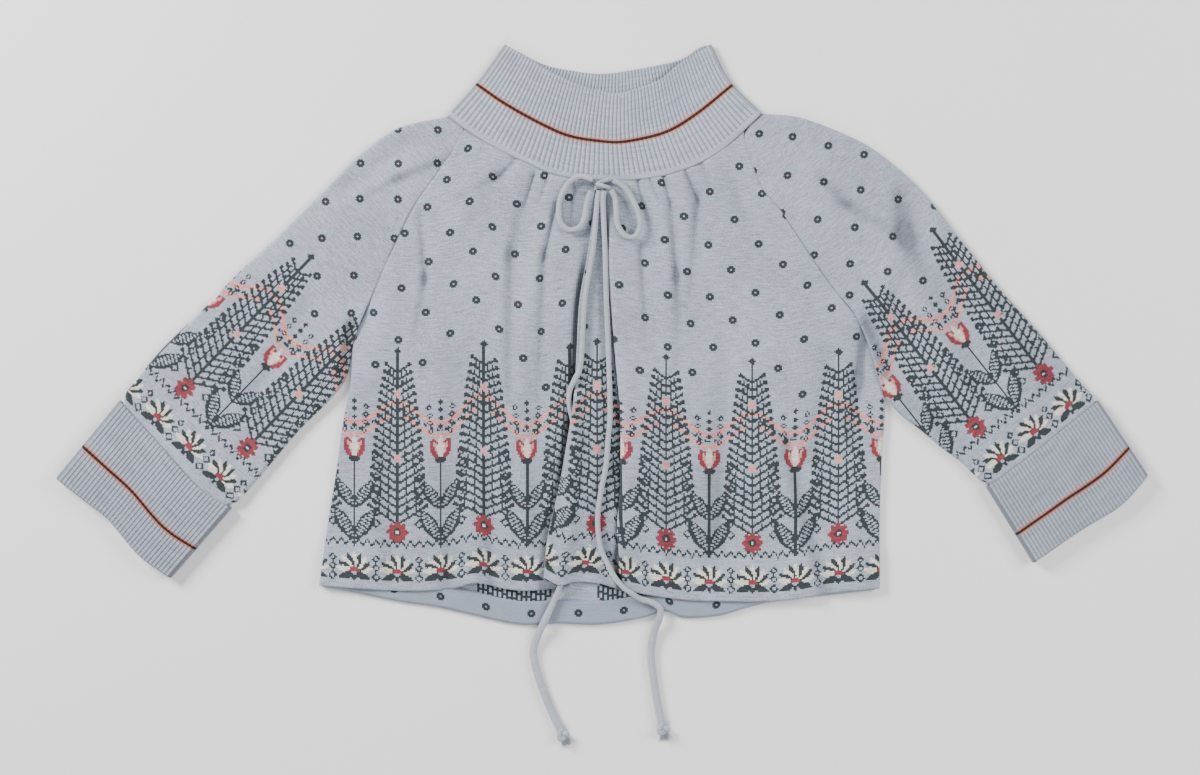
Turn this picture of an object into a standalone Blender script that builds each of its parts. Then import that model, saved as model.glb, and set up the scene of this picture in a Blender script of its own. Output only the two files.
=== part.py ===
"""Cropped jacquard sweater with a funnel collar, laid flat on its back.

The frame has +X to the picture's right, +Y towards the neck and +Z up from the surface.
Tables below are in millimetres, and MM turns them into metres when a mesh is made.
Left and right in the names are the wearer's: the wearer's right is at -X.
"""
import math

import bmesh
import bpy
import numpy as np
from mathutils import Vector

MM = 0.001

# Driving sizes
WALL = 2.4                # knitted jacquard, two yarns thick
RIB_WALL = 2.2            # collar and cuff rib between its raised ribs
RIB_RAISE = 0.9           # how far a rib stands up from the wall
SEAM_GAP = 0.35           # between pieces that are sewn together
LAYER_GAP = 0.4           # between layers that lie on each other
FRONT_INSET = 0.9         # of a front's side, so that its straight facets clear the sleeve's
BACK_INSET = 1.5          # the same of the back, whose facets are longer
NECK_INSET = 2.2          # the same of the back's neck edge below the collar
LAYER = WALL + LAYER_GAP
FACING_WALL = 1.8
FACING_WIDTH = 23.0
CORD_RADIUS = 2.4
COLLAR_HEIGHT = 7.6       # top of the collar's upper layer
COLLAR_RIBS = 65
COLLAR_BAND = 0.055       # share of the collar that is the plain linking band
CUFF_HEIGHT = 12.0        # four rib walls on each other
CUFF_RIBS = 36
CUFF_OVERLAP = 0.12       # share of the cuff that the sleeve's end reaches into
CUFF_SEAM = 0.02          # share of the cuff left free between its inner end and the sleeve's
SLEEVE_COLUMNS = np.concatenate([[0.0, 0.035], np.linspace(0.075, 1.0, 14)])
SLEEVE_LOW_COUNT = 10     # points across a sleeve's or cuff's lower layer
SLEEVE_HEIGHT = 7.4       # top of a sleeve's upper layer
SLEEVE_AT_RAGLAN = 6.0
FOLD_RADIUS = 1.6         # centre line of the deep fold in the left front
FOLD_FADE = 34.0          # how far the cloth takes to come down from that fold
NECK_LIFT = 1.3           # rise of the gathers where the fronts meet the collar
TUNNEL_LIFT = 6.9         # rise of the left front over the tucked tail
TUNNEL_WIDTH = 8.5

# Outlines, each row a point (x, y) that a smooth run passes through
NECK_RIGHT = [(-155, 217), (-138, 203)]
NECK_LEFT = [(160, 220), (142, 196)]
RAGLAN_RIGHT = [(-138, 203), (-162, 164), (-187, 129), (-205, 94), (-227, 44), (-240, 14), (-248, -10)]
RAGLAN_LEFT = [(142, 196), (158, 149), (178, 124), (198, 94), (218, 64), (238, 36), (260, 4), (281, -62)]
SIDE_RIGHT = [(-248, -10), (-251, -51), (-258, -86), (-265, -136), (-273, -186), (-282, -251)]
SIDE_LEFT = [(281, -62), (279, -126), (277, -186), (277, -254)]
NECK_SEAM_FRONT = [(-155, 217), (-122, 194), (-82, 173), (-42, 157), (-2, 153), (38, 154), (78, 162),
                   (118, 182), (160, 220)]
NECK_SEAM_BACK = [(-138, 203), (-60, 189), (2, 185), (64, 188), (142, 196)]
COLLAR_TOP_FRONT = [(-97, 289), (-72, 274), (-42, 257), (-22, 248), (5, 241), (18, 240), (38, 246), (58, 254),
                    (78, 270), (109, 289)]
COLLAR_TOP_BACK = [(-97, 289), (-82, 281), (-62, 271), (-42, 265), (-2, 260), (38, 265), (78, 274), (98, 286),
                   (109, 289)]
COLLAR_SIDE_RIGHT = [(-155, 217), (-124, 252), (-97, 289)]
COLLAR_SIDE_LEFT = [(160, 220), (128, 252), (109, 289)]
OPENING = [(-7, 150), (-12, 94), (-22, 34), (-25, -16), (-27, -54), (-31, -86), (-41, -144), (-47, -172),
           (-54, -202), (-58, -243)]
DEEP_FOLD = [(5, 150), (8, 94), (13, 34), (19, -35), (23, -81), (23, -146), (21, -176), (18, -208), (18, -240),
             (20, -254)]
HEM_FRONT_RIGHT = [(-282, -251), (-202, -256), (-152, -254), (-127, -248), (-97, -254), (-72, -256), (-32, -252)]
HEM_FRONT_STRIP = [(-58, -243), (-42, -250), (-27, -247), (-2, -249), (20, -256)]
HEM_FRONT_LEFT = [(20, -256), (58, -262), (98, -266), (178, -266), (228, -258), (277, -254)]
HEM_BACK = [(-282, -252), (-242, -259), (-202, -267), (-162, -273), (-122, -282), (-82, -290), (-42, -289),
            (-2, -290), (38, -284), (63, -277), (81, -283), (118, -281), (168, -268), (277, -255)]
SLEEVE_TOP_RIGHT = [(-155, 217), (-202, 206), (-242, 179), (-282, 139), (-322, 99), (-362, 62), (-402, 21),
                    (-442, -18), (-481, -66), (-489, -75)]
SLEEVE_LOW_RIGHT = [(-248, -10), (-259, -51), (-302, -96), (-340, -141), (-369, -174), (-377, -183)]
SLEEVE_TOP_LEFT = [(160, 220), (198, 216), (248, 197), (278, 179), (318, 144), (358, 94), (398, 44), (438, -1),
                   (478, -49), (495, -66), (501, -76)]
SLEEVE_LOW_LEFT = [(281, -62), (298, -81), (318, -96), (338, -113), (358, -128), (383, -153), (389, -162)]
CUFF_TOP_RIGHT = [(-481, -66), (-442, -109), (-402, -153), (-369, -174)]
CUFF_END_RIGHT = [(-545, -144), (-517, -166), (-492, -186), (-462, -221), (-430, -244)]
CUFF_TOP_LEFT = [(495, -66), (458, -96), (418, -128), (383, -153)]
CUFF_END_LEFT = [(545, -141), (518, -171), (478, -196), (430, -229)]

# Largest folds, as rows of (x, y) at one end, (x, y) at the other, half width, and height at each end
FOLD_COLUMNS = ("x0", "y0", "x1", "y1", "width", "h0", "h1")
FOLDS_FRONT_RIGHT = [
    (-78, 168, -95, 60, 11, 1.6, 1.0),
    (-52, 156, -84, -60, 10, 2.8, 1.4),
    (-36, 152, -52, 20, 9, 2.6, 1.2),
    (-112, 182, -178, 40, 13, 1.2, 1.6),
    (-135, -120, -131, -252, 12, 0.6, 3.2),
    (-205, 60, -232, -40, 13, 1.8, 2.2),
]
FOLDS_FRONT_LEFT = [
    (52, 152, 84, -40, 10, 2.8, 1.2),
    (78, 158, 92, 60, 10, 2.2, 1.2),
    (112, 176, 132, 70, 12, 1.2, 1.2),
    (190, -60, 172, -230, 16, 0.8, 2.0),
    (238, 20, 232, -130, 14, 3.0, 1.4),
]
FOLDS_SLEEVE_RIGHT = [
    (-168, 178, -270, 112, 13, 1.4, 1.0),
    (-240, 10, -330, -70, 18, 1.6, 1.2),
    (-330, 70, -420, -80, 22, 1.0, 1.4),
]
FOLDS_SLEEVE_LEFT = [
    (214, 158, 302, 82, 13, 2.0, 1.4),
    (284, 60, 268, -40, 13, 2.6, 2.2),
    (330, 96, 316, 20, 16, 2.0, 1.0),
    (352, -40, 440, -90, 20, 1.0, 1.4),
]

# Drawstring, each row a point (x, y, z) of the cord's own middle
TAIL_RIGHT = [(-3, 142.6, 13.0), (-5, 130, 12.0), (-9, 84, 11.2), (-17, 34, 11.2), (-21, -28, 11.2),
              (-26.5, -44, 11.0), (-32, -56, 9.2), (-32.5, -70, 8.2), (-29, -88, 8.1), (-27, -110, 8.1),
              (-30, -150, 8.1), (-35, -200, 8.2), (-39, -236, 8.9), (-41, -249, 9.3), (-46, -262, 7.6),
              (-52, -275, 7.5), (-58, -288, 7.4), (-63, -299, 4.8), (-68, -313, 2.6), (-68, -325, 2.5),
              (-63, -345, 2.5), (-56, -364, 2.5), (-48, -383, 2.5), (-41, -397, 2.5)]
TAIL_LEFT = [(2, 142.2, 13.4), (1, 130, 12.4), (3, 84, 11.0), (4, 44, 10.3), (7, -35, 8.8), (8, -81, 8.4),
             (6, -106, 8.3), (4, -131, 8.2), (-1, -157, 8.2), (-4, -177, 8.2), (-4, -195, 8.3), (-1, -214, 8.9),
             (5, -228, 10.2), (12, -241, 12.4), (20, -251, 14.0), (29, -258, 13.0), (38, -264, 9.6),
             (50, -268, 7.9), (58, -274, 7.5), (57, -284, 6.6), (53, -295, 4.2), (50, -308, 2.6),
             (49, -325, 2.5), (52, -347, 2.5), (56, -373, 2.5), (60, -391, 2.5)]
LOOP_RIGHT = [(-9, 153, 14.0), (-18, 156, 13.0), (-27, 155, 12.0), (-35, 148, 11.2), (-41, 136, 11.3),
              (-43, 124, 11.2), (-41, 111, 10.6), (-34, 104, 10.4), (-27, 104, 10.4), (-21, 108, 10.4),
              (-17, 118, 10.8), (-15, 131, 11.6), (-11, 142, 13.0)]
LOOP_LEFT = [(11, 152, 14.0), (18, 149, 13.0), (26, 142, 12.4), (32, 131, 12.2), (37, 118, 12.0),
             (38, 107, 11.8), (34, 98, 11.8), (27, 96, 12.2), (20, 101, 13.0), (15, 111, 13.2),
             (14, 124, 13.2), (13, 135, 13.2), (9, 143, 13.8)]
KNOT_PLACE = (1.0, 150.0, 14.0)
KNOT_SIZE = (8.6, 7.0, 4.6)
TAIL_KNOT_RADIUS = 4.4
TAIL_KNOT_RISE = 4.6      # middle of a tail's knot above the surface

# Colours, each a linear base colour with its roughness
FINISHES = {
    "jacquard knit": ((0.40, 0.44, 0.49), 0.9),
    "inner facing": ((0.33, 0.37, 0.42), 0.9),
    "rib knit": ((0.42, 0.46, 0.51), 0.88),
    "drawstring": ((0.50, 0.54, 0.59), 0.85),
}


def ease(value):
    """Smooth step from 0 to 1."""
    value = np.clip(value, 0.0, 1.0)
    return value * value * (3.0 - 2.0 * value)


def smooth_run(points, steps=16):
    """Dense points of a Catmull-Rom curve through the given ones."""
    points = np.asarray(points, dtype=float)
    if len(points) < 3:
        return points
    padded = np.vstack([2 * points[0] - points[1], points, 2 * points[-1] - points[-2]])
    share = np.linspace(0.0, 1.0, steps, endpoint=False)[:, None]
    runs = []
    for i in range(len(points) - 1):
        a, b, c, d = padded[i:i + 4]
        runs.append(0.5 * (2 * b + (c - a) * share + (2 * a - 5 * b + 4 * c - d) * share ** 2
                           + (3 * b - a - 3 * c + d) * share ** 3))
    runs.append(points[-1:])
    return np.vstack(runs)


def line_along(*runs):
    """A function of 0 to 1 by length, along smooth runs that meet at corners."""
    path = np.vstack([smooth_run(run) for run in runs])
    steps = np.linalg.norm(np.diff(path, axis=0), axis=1)
    path = path[np.concatenate([[True], steps > 1e-9])]
    reach = np.concatenate([[0.0], np.cumsum(np.linalg.norm(np.diff(path, axis=0), axis=1))])

    def at(share):
        where = np.asarray(share, dtype=float) * reach[-1]
        return np.stack([np.interp(where, reach, path[:, k]) for k in range(path.shape[1])], axis=-1)

    at.length = reach[-1]
    return at


def patch(start, end, left, right):
    """A surface between four lines: s runs from start to end, t from left to right."""
    def at(s, t):
        s = np.asarray(s, dtype=float)
        t = np.asarray(t, dtype=float)
        a = s[..., None]
        b = t[..., None]
        corners = ((1 - a) * (1 - b) * start(0.0) + (1 - a) * b * start(1.0)
                   + a * (1 - b) * end(0.0) + a * b * end(1.0))
        return (1 - b) * left(s) + b * right(s) + (1 - a) * start(t) + a * end(t) - corners

    return at


def fold_height(points, folds):
    """Height that soft ridges add at each point (x, y)."""
    total = np.zeros(points.shape[:-1])
    for row in folds:
        fold = dict(zip(FOLD_COLUMNS, row))
        first = np.array([fold["x0"], fold["y0"]], dtype=float)
        along = np.array([fold["x1"], fold["y1"]], dtype=float) - first
        length = np.linalg.norm(along)
        along = along / length
        offset = points - first
        run = offset @ along
        off = offset[..., 0] * along[1] - offset[..., 1] * along[0]
        beyond = np.maximum(np.maximum(-run, run - length), 0.0)
        height = fold["h0"] + (fold["h1"] - fold["h0"]) * np.clip(run / length, 0.0, 1.0)
        total += height * np.exp(-(off / fold["width"]) ** 2 - (beyond / fold["width"]) ** 2)
    return total


# Lines that several pieces share
seam_neck_front = line_along(NECK_SEAM_FRONT)
seam_right = line_along(NECK_RIGHT, RAGLAN_RIGHT)
seam_left = line_along(NECK_LEFT, RAGLAN_LEFT)
body_right = line_along(RAGLAN_RIGHT, SIDE_RIGHT)
body_left = line_along(RAGLAN_LEFT, SIDE_LEFT)
opening = line_along(OPENING)
deep_fold = line_along(DEEP_FOLD)
hem_back = smooth_run(HEM_BACK)


def shifted(line, dx, dy):
    """The same line moved sideways by (dx, dy)."""
    def at(share):
        return line(share) + np.array([dx, dy])

    at.length = line.length
    return at


def part_of(line, low, high):
    """The stretch of a line between two shares of its length."""
    def at(share):
        return line(low + (high - low) * np.asarray(share, dtype=float))

    at.length = line.length * (high - low)
    return at


def facing_edge(x):
    """Where the back's turned hem ends inside, at each x."""
    order = np.argsort(hem_back[:, 0])
    return np.interp(x, hem_back[order, 0], hem_back[order, 1]) + FACING_WIDTH


def back_ground(points):
    """Height on which a front lies: the back's upper face, and the facing near the hem."""
    to_facing = facing_edge(points[..., 0]) + 30.0 - points[..., 1]
    return WALL + LAYER_GAP + (FACING_WALL + LAYER_GAP) * ease(to_facing / 20.0)


def share_near(line, place, samples=800):
    """The share of a line's length that comes nearest a point."""
    shares = np.linspace(0.0, 1.0, samples)
    gaps = np.linalg.norm(line(shares) - np.asarray(place, dtype=float), axis=1)
    return float(shares[int(np.argmin(gaps))])


def lap(share):
    """How far the right front reaches under the left one, from neck to hem."""
    return 6.0 + 20.0 * ease(share * 1.2)


def neck_lift(share):
    """How much the gathered top of a front stands up to meet the collar."""
    return NECK_LIFT * np.exp(-np.asarray(share, dtype=float) * 14.0)


def right_front_points(rows, columns):
    """Middle surface of the wearer's right front, which goes under the other at the opening."""
    s, t = np.meshgrid(np.linspace(0, 1, rows), columns, indexing="ij")
    corner = share_near(seam_neck_front, NECK_RIGHT[1])
    middle = share_near(seam_neck_front, OPENING[0])
    top = shifted(part_of(seam_neck_front, corner, middle), 0.0, -SEAM_GAP / 2)

    def edge(share):
        return opening(share) + np.stack([lap(share), np.zeros_like(np.asarray(share, dtype=float))], axis=-1)

    side = shifted(body_right, FRONT_INSET, 0.0)
    points = patch(line_from(top, side(0.0), edge(0.0)), line_along(HEM_FRONT_RIGHT), side, edge)(s, t)
    to_opening = opening(s)[..., 0] - points[..., 0]
    folds = fold_height(points, FOLDS_FRONT_RIGHT) * ease((to_opening - 4.0) / 22.0)
    height = back_ground(points) + WALL / 2 + folds + neck_lift(s)
    return np.dstack([points, height])


def line_from(line, start, end):
    """A line bent at its ends so that it starts and ends at the given places."""
    first = start - line(0.0)
    last = end - line(1.0)

    def at(share):
        share = np.asarray(share, dtype=float)[..., None]
        return line(share[..., 0]) + (1 - share) * first + share * last

    at.length = line.length
    return at


def tucked_cord(y):
    """Where the tucked stretch of the right tail is, at each y below the place where it goes under."""
    route = np.array(sorted((row[1], row[0]) for row in TAIL_RIGHT if row[1] < -56))
    return np.interp(y, route[:, 0], route[:, 1])


def fold_turn(share):
    """Angle through which the deep fold turns: flat at the neck, right over, and softer at the hem."""
    return math.pi * (ease((share + 0.02) / 0.28) - 0.8 * ease((share - 0.84) / 0.16))


def left_front_points(rows, arc_steps, main_columns):
    """Middle surface of the wearer's left front: a strip beside the opening, a deep fold, and the rest."""
    corner = share_near(seam_neck_front, NECK_LEFT[1])
    start = share_near(seam_neck_front, DEEP_FOLD[0])
    top = shifted(part_of(seam_neck_front, start, corner), 0.0, -SEAM_GAP / 2)
    side = shifted(body_left, -FRONT_INSET, 0.0)
    main = patch(line_from(top, deep_fold(0.0), side(0.0)), line_along(HEM_FRONT_LEFT), deep_fold, side)
    hem_strip = line_along(HEM_FRONT_STRIP)
    grid = []
    for share in np.linspace(0.0, 1.0, rows):
        turn = float(fold_turn(share))
        straight = 1.5 + 3.0 * float(ease(share * 3.0))
        radius = FOLD_RADIUS
        advance = 2 * radius * math.sin(turn) + straight * math.cos(turn)
        rise = 2 * radius * (1 - math.cos(turn)) + straight * math.sin(turn)
        first = opening(share)
        fold = deep_fold(share)
        across = main(np.array(share), np.array(0.06)) - fold
        across = across / np.linalg.norm(across)

        # Strip from the opening to the fold, over the other front and over the tucked tail
        end = fold - across * advance / 2
        width = np.linalg.norm(end - first)
        tuck = float(np.clip(tucked_cord(first[1]) - first[0], 1.0, width * 0.5))
        edge = min(lap(share) + 2.0, width * 0.74)
        down = min(lap(share) + 13.0, width * 0.88)
        places = np.array([0.0, tuck / 2, tuck, (tuck + edge) / 2, edge, down, width])
        strip = np.array([first + (end - first) * place / width for place in places])
        strip[:, 1] += (hem_strip(places / width)[:, 1] - strip[:, 1]) * float(ease((share - 0.9) / 0.1))
        over_front = LAYER * (1.0 - ease((places - edge) / 12.0))
        lift = TUNNEL_LIFT * float(ease((-first[1] - 50.0) / 16.0))
        tunnel = lift * np.exp(-((places - tuck) / TUNNEL_WIDTH) ** 2)
        height = back_ground(strip) + WALL / 2 + over_front + tunnel + neck_lift(share)
        row = [(x, y, z) for (x, y), z in zip(strip, height)]

        # Deep fold: an arc up, a short straight and an arc back
        low = height[-1]
        for step in range(1, arc_steps + 1):
            angle = turn * step / arc_steps
            along = -advance / 2 + radius * math.sin(angle)
            place = fold + across * along
            row.append((place[0], place[1], low + radius * (1 - math.cos(angle))))
        for step in range(arc_steps + 1):
            angle = turn * (1 - step / arc_steps)
            along = (-advance / 2 + radius * math.sin(turn) + straight * math.cos(turn)
                     + radius * (math.sin(turn) - math.sin(angle)))
            place = fold + across * along
            climbed = (radius * (1 - math.cos(turn)) + straight * math.sin(turn)
                       + radius * (math.cos(angle) - math.cos(turn)))
            row.append((place[0], place[1], low + climbed))

        # The rest, coming down from the fold to the back
        begin = fold + across * advance / 2
        points = main(np.full(len(main_columns), share), np.array(main_columns))
        reach = np.linalg.norm(points - fold, axis=1)
        points = points + np.outer(1 - ease(reach / 30.0), begin - fold)
        level = back_ground(points) + WALL / 2 + neck_lift(share)
        fade = 1 - ease(reach / FOLD_FADE)
        high = low + rise
        height = level + (high - level) * fade + fold_height(points, FOLDS_FRONT_LEFT) * ease(reach / 24.0)
        row += [(x, y, z) for (x, y), z in zip(points, height)]
        grid.append(row)
    return np.array(grid)


def ring(line, under, top, low, inset, columns, low_count, edge_steps=4, ribs=0.0, spread=3.0):
    """A closed ring round a flattened tube: its upper line, one edge, its lower line and the other edge.

    line and under are the upper and lower layers' lines from edge to edge, and top(xy) is the upper height.
    """
    reach = inset + spread
    begin = reach / line.length
    shares = begin + (1 - 2 * begin) * np.asarray(columns)
    upper = line(shares)
    height = top(upper) + np.zeros(len(upper))
    if ribs:
        height = height + ribs * (np.arange(len(upper)) % 2)
    under_begin = reach / under.length
    lower = under(np.linspace(1 - under_begin, under_begin, low_count))
    loop = [(x, y, z) for (x, y), z in zip(upper, height)]

    def edge(upper_end, lower_end, height_end, tip, sign):
        middle = (upper_end + lower_end) / 2
        out = tip - middle
        out = out / np.linalg.norm(out) * spread
        for step in range(1, edge_steps):
            angle = sign * (math.pi / 2 - math.pi * step / edge_steps)
            mix = (1 - math.sin(angle)) / 2
            place = upper_end * (1 - mix) + lower_end * mix + out * math.cos(angle)
            loop.append((place[0], place[1], (height_end + low) / 2 + (height_end - low) / 2 * math.sin(angle)))

    edge(upper[-1], lower[0], height[-1], line(1.0), 1)
    loop += [(x, y, low) for x, y in lower]
    edge(upper[0], lower[-1], height[0], line(0.0), -1)
    return np.array(loop)


def row_line(surface, share):
    """The line across a patch at one share of its length, as a function of 0 to 1."""
    def at(t):
        t = np.asarray(t, dtype=float)
        return surface(np.full(t.shape, share), t)

    samples = at(np.linspace(0, 1, 40))
    at.length = float(np.sum(np.linalg.norm(np.diff(samples, axis=0), axis=1)))
    return at


def collar_rings():
    """Outer rings with raised ribs, then plain inner rings, of the flattened funnel."""
    base_front = shifted(seam_neck_front, 0.0, SEAM_GAP / 2)
    base_back = shifted(line_along([NECK_RIGHT[0], NECK_RIGHT[1]], NECK_SEAM_BACK, [NECK_LEFT[1], NECK_LEFT[0]]),
                        0.0, SEAM_GAP / 2)
    right = shifted(line_along(COLLAR_SIDE_RIGHT), 0.0, SEAM_GAP / 2)
    left = shifted(line_along(COLLAR_SIDE_LEFT), 0.0, SEAM_GAP / 2)
    front = patch(base_front, line_along(COLLAR_TOP_FRONT), right, left)
    back = patch(base_back, line_along(COLLAR_TOP_BACK), right, left)
    fine = np.linspace(0, 1, 2 * COLLAR_RIBS + 1)
    coarse = np.linspace(0, 1, 26)
    outer = []
    inner = []
    for share in (0.0, COLLAR_BAND, 0.3, 0.65, 1.0):
        over = row_line(front, share)
        under = row_line(back, share)
        ribs = RIB_RAISE if share else 0.0
        outer.append(ring(over, under, lambda xy: COLLAR_HEIGHT - RIB_RAISE, 0.0, 0.0, fine, 18, ribs=ribs))
        inner.append(ring(over, under, lambda xy: COLLAR_HEIGHT - RIB_RAISE - RIB_WALL, RIB_WALL, RIB_WALL,
                          coarse, 16, spread=1.2))
    return outer + inner[::-1]


def sleeve_rings(seam, top_side, low_side, cuff_surface, folds, away):
    """Outer and inner rings of a flattened sleeve, from the raglan seam into the cuff."""
    start = shifted(seam, away * SEAM_GAP, SEAM_GAP / 4)
    end = row_line(cuff_surface, CUFF_OVERLAP)
    upper = line_along(top_side)
    lower = line_along(low_side)
    surface = patch(start, line_from(end, upper(1.0), lower(1.0)),
                    line_from(upper, start(0.0), upper(1.0)), line_from(lower, start(1.0), lower(1.0)))
    cuff_low = RIB_WALL + LAYER_GAP
    cuff_top = CUFF_HEIGHT - RIB_RAISE - cuff_low
    outer = []
    inner = []
    for share in np.concatenate([np.linspace(0.0, 0.85, 11), [0.9, 0.945, 1.0]]):
        line = row_line(surface, share)
        into = float(ease((share - 0.85) / 0.09))
        raglan = 1 - float(ease(share / 0.12))

        def top(xy, into=into, raglan=raglan):
            plain = SLEEVE_HEIGHT + (SLEEVE_AT_RAGLAN - SLEEVE_HEIGHT) * raglan
            plain = plain + fold_height(xy, folds) * (1 - into)
            return plain * (1 - into) + cuff_top * into

        low = cuff_low * into
        inset = (RIB_WALL + 3 * LAYER_GAP) * into
        outer.append(ring(line, line, top, low, inset, SLEEVE_COLUMNS, SLEEVE_LOW_COUNT))
        inner.append(ring(line, line, lambda xy: top(xy) - WALL, low + WALL, inset + WALL, SLEEVE_COLUMNS,
                          SLEEVE_LOW_COUNT, spread=1.2))
    return outer + inner[::-1]


def cuff_rings(surface):
    """Rings of a turned-up cuff: out over the sleeve's end, round the fold, and back inside it."""
    fine = np.linspace(0, 1, 2 * CUFF_RIBS + 1)
    coarse = SLEEVE_COLUMNS
    count = SLEEVE_LOW_COUNT
    top = CUFF_HEIGHT - RIB_RAISE
    step = RIB_WALL + LAYER_GAP
    seam = CUFF_OVERLAP + CUFF_SEAM
    rings = []
    for share in (0.0, 0.5, 0.97):
        line = row_line(surface, share)
        rings.append(ring(line, line, lambda xy: top, 0.0, 0.0, fine, count, ribs=RIB_RAISE))
    tip = row_line(surface, 1.0)
    rings.append(ring(tip, tip, lambda xy: top - 1.6, 1.6, 1.6, coarse, count, spread=2.0))
    rings.append(ring(tip, tip, lambda xy: top - step - 0.6, step + 0.6, step + 0.6, coarse, count, spread=1.2))
    for share in (0.97, 0.5, seam):
        line = row_line(surface, share)
        rings.append(ring(line, line, lambda xy: top - step - RIB_WALL, step + RIB_WALL, step + RIB_WALL,
                          coarse, count, spread=1.0))
    for share in (seam, 0.5, 0.95):
        line = row_line(surface, share)
        rings.append(ring(line, line, lambda xy: top - step, step, step, coarse, count))
    for share in (0.95, 0.5, seam, 0.0):
        line = row_line(surface, share)
        rings.append(ring(line, line, lambda xy: top - RIB_WALL, RIB_WALL, RIB_WALL, coarse, count, spread=2.0))
    return rings


def bridge(first, second, at_first, at_second):
    """Faces between two closed rings of vertex numbers, whose counts may differ."""
    if len(first) == len(second):
        count = len(first)
        return [(first[i], first[(i + 1) % count], second[(i + 1) % count], second[i]) for i in range(count)]
    faces = []
    i = 0
    j = 0
    while i < len(first) or j < len(second):
        next_first = at_first[i + 1] if i < len(first) else 2.0
        next_second = at_second[j + 1] if j < len(second) else 2.0
        if next_first <= next_second:
            faces.append((first[i], first[(i + 1) % len(first)], second[j % len(second)]))
            i += 1
        else:
            faces.append((first[i % len(first)], second[(j + 1) % len(second)], second[j]))
            j += 1
    return faces


def ring_shares(loop):
    """Each point's share of the way round a ring, seen from above, closed with 1."""
    steps = np.linalg.norm(np.diff(np.vstack([loop, loop[:1]])[:, :2], axis=0), axis=1)
    steps = steps + 0.15
    return np.concatenate([[0.0], np.cumsum(steps) / np.sum(steps)])


def material(name):
    """Principled material with the named finish."""
    if name in bpy.data.materials:
        return bpy.data.materials[name]
    made = bpy.data.materials.new(name)
    made.use_nodes = True
    shader = made.node_tree.nodes["Principled BSDF"]
    colour, roughness = FINISHES[name]
    shader.inputs["Base Color"].default_value = (*colour, 1.0)
    shader.inputs["Roughness"].default_value = roughness
    shader.inputs["Metallic"].default_value = 0.0
    return made


def add_object(name, data, finish):
    """Puts mesh or curve data into the part's collection as a named object."""
    made = bpy.data.objects.new(name, data)
    data.materials.append(material(finish))
    collection.objects.link(made)
    return made


def closed_loft(name, rings, finish):
    """A closed body through a round of rings, the last joined to the first."""
    verts = []
    loops = []
    shares = []
    for loop in rings:
        loops.append(list(range(len(verts), len(verts) + len(loop))))
        verts += [tuple(v * MM for v in point) for point in loop]
        shares.append(ring_shares(loop))
    faces = []
    for i in range(len(rings)):
        j = (i + 1) % len(rings)
        faces += bridge(loops[i], loops[j], shares[i], shares[j])
    mesh = bpy.data.meshes.new(name)
    mesh.from_pydata(verts, [], faces)
    work = bmesh.new()
    work.from_mesh(mesh)
    bmesh.ops.recalc_face_normals(work, faces=work.faces)
    if work.calc_volume(signed=True) < 0:
        bmesh.ops.reverse_faces(work, faces=work.faces)
    work.to_mesh(mesh)
    work.free()
    mesh.shade_smooth()
    return add_object(name, mesh, finish)


def solid_panel(name, grid, wall, finish):
    """A panel of even thickness about a grid of middle points."""
    rows, columns = grid.shape[:2]
    mesh = bpy.data.meshes.new(name)
    faces = []
    for i in range(rows - 1):
        for j in range(columns - 1):
            first = i * columns + j
            faces.append((first, first + columns, first + columns + 1, first + 1))
    mesh.from_pydata([tuple(point * MM) for point in grid.reshape(-1, 3)], [], faces)
    mesh.shade_smooth()
    panel = add_object(name, mesh, finish)
    solid = panel.modifiers.new("cloth thickness", "SOLIDIFY")
    solid.thickness = wall * MM
    solid.offset = 0.0
    return panel


def back_points(rows, columns):
    """Middle surface of the back panel, flat on the surface."""
    down = np.concatenate([np.linspace(0.0, 0.6, rows - 5), np.linspace(0.68, 1.0, 5)])
    s, t = np.meshgrid(down, np.linspace(0, 1, columns), indexing="ij")
    side_right = shifted(body_right, BACK_INSET, 0.0)
    side_left = shifted(body_left, -BACK_INSET, 0.0)
    neck = line_from(line_along(NECK_SEAM_BACK), side_right(0.0), side_left(0.0))
    points = patch(neck, line_along(HEM_BACK), side_right, side_left)(s, t)
    points[..., 1] -= NECK_INSET * (1.0 - ease(s / 0.1))
    return np.dstack([points, np.full(points.shape[:2], WALL / 2)])


def facing_points(columns):
    """Middle surface of the back's turned hem, laid on the back's inside."""
    line = line_along(HEM_BACK)(np.linspace(0.012, 0.988, columns))
    rows = []
    for share in (1.0, 0.5, 0.0):
        up = 1.2 + (FACING_WIDTH - 1.2) * share
        rows.append(np.column_stack([line[:, 0], line[:, 1] + up]))
    points = np.array(rows)
    return np.dstack([points, np.full(points.shape[:2], WALL + SEAM_GAP + FACING_WALL / 2)])


def cord(name, route, spacing=13.0):
    """A tube along a smooth curve through the route's points."""
    line = line_along(route)
    count = max(8, round(line.length / spacing))
    points = line(np.linspace(0, 1, count + 1))
    data = bpy.data.curves.new(name, "CURVE")
    data.dimensions = "3D"
    spline = data.splines.new("POLY")
    spline.points.add(len(points) - 1)
    for point, place in zip(spline.points, points):
        point.co = (*(place * MM), 1.0)
    data.bevel_depth = CORD_RADIUS * MM
    data.bevel_resolution = 2
    data.use_fill_caps = True
    return add_object(name, data, "drawstring")


def knot(name, place, size, segments=12, rings=8):
    """A rounded knot, its three half sizes given in millimetres."""
    mesh = bpy.data.meshes.new(name)
    work = bmesh.new()
    bmesh.ops.create_uvsphere(work, u_segments=segments, v_segments=rings, radius=1.0)
    bmesh.ops.scale(work, vec=Vector([v * MM for v in size]), verts=work.verts)
    work.to_mesh(mesh)
    work.free()
    mesh.shade_smooth()
    made = add_object(name, mesh, "drawstring")
    made.location = [v * MM for v in place]
    return made


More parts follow.
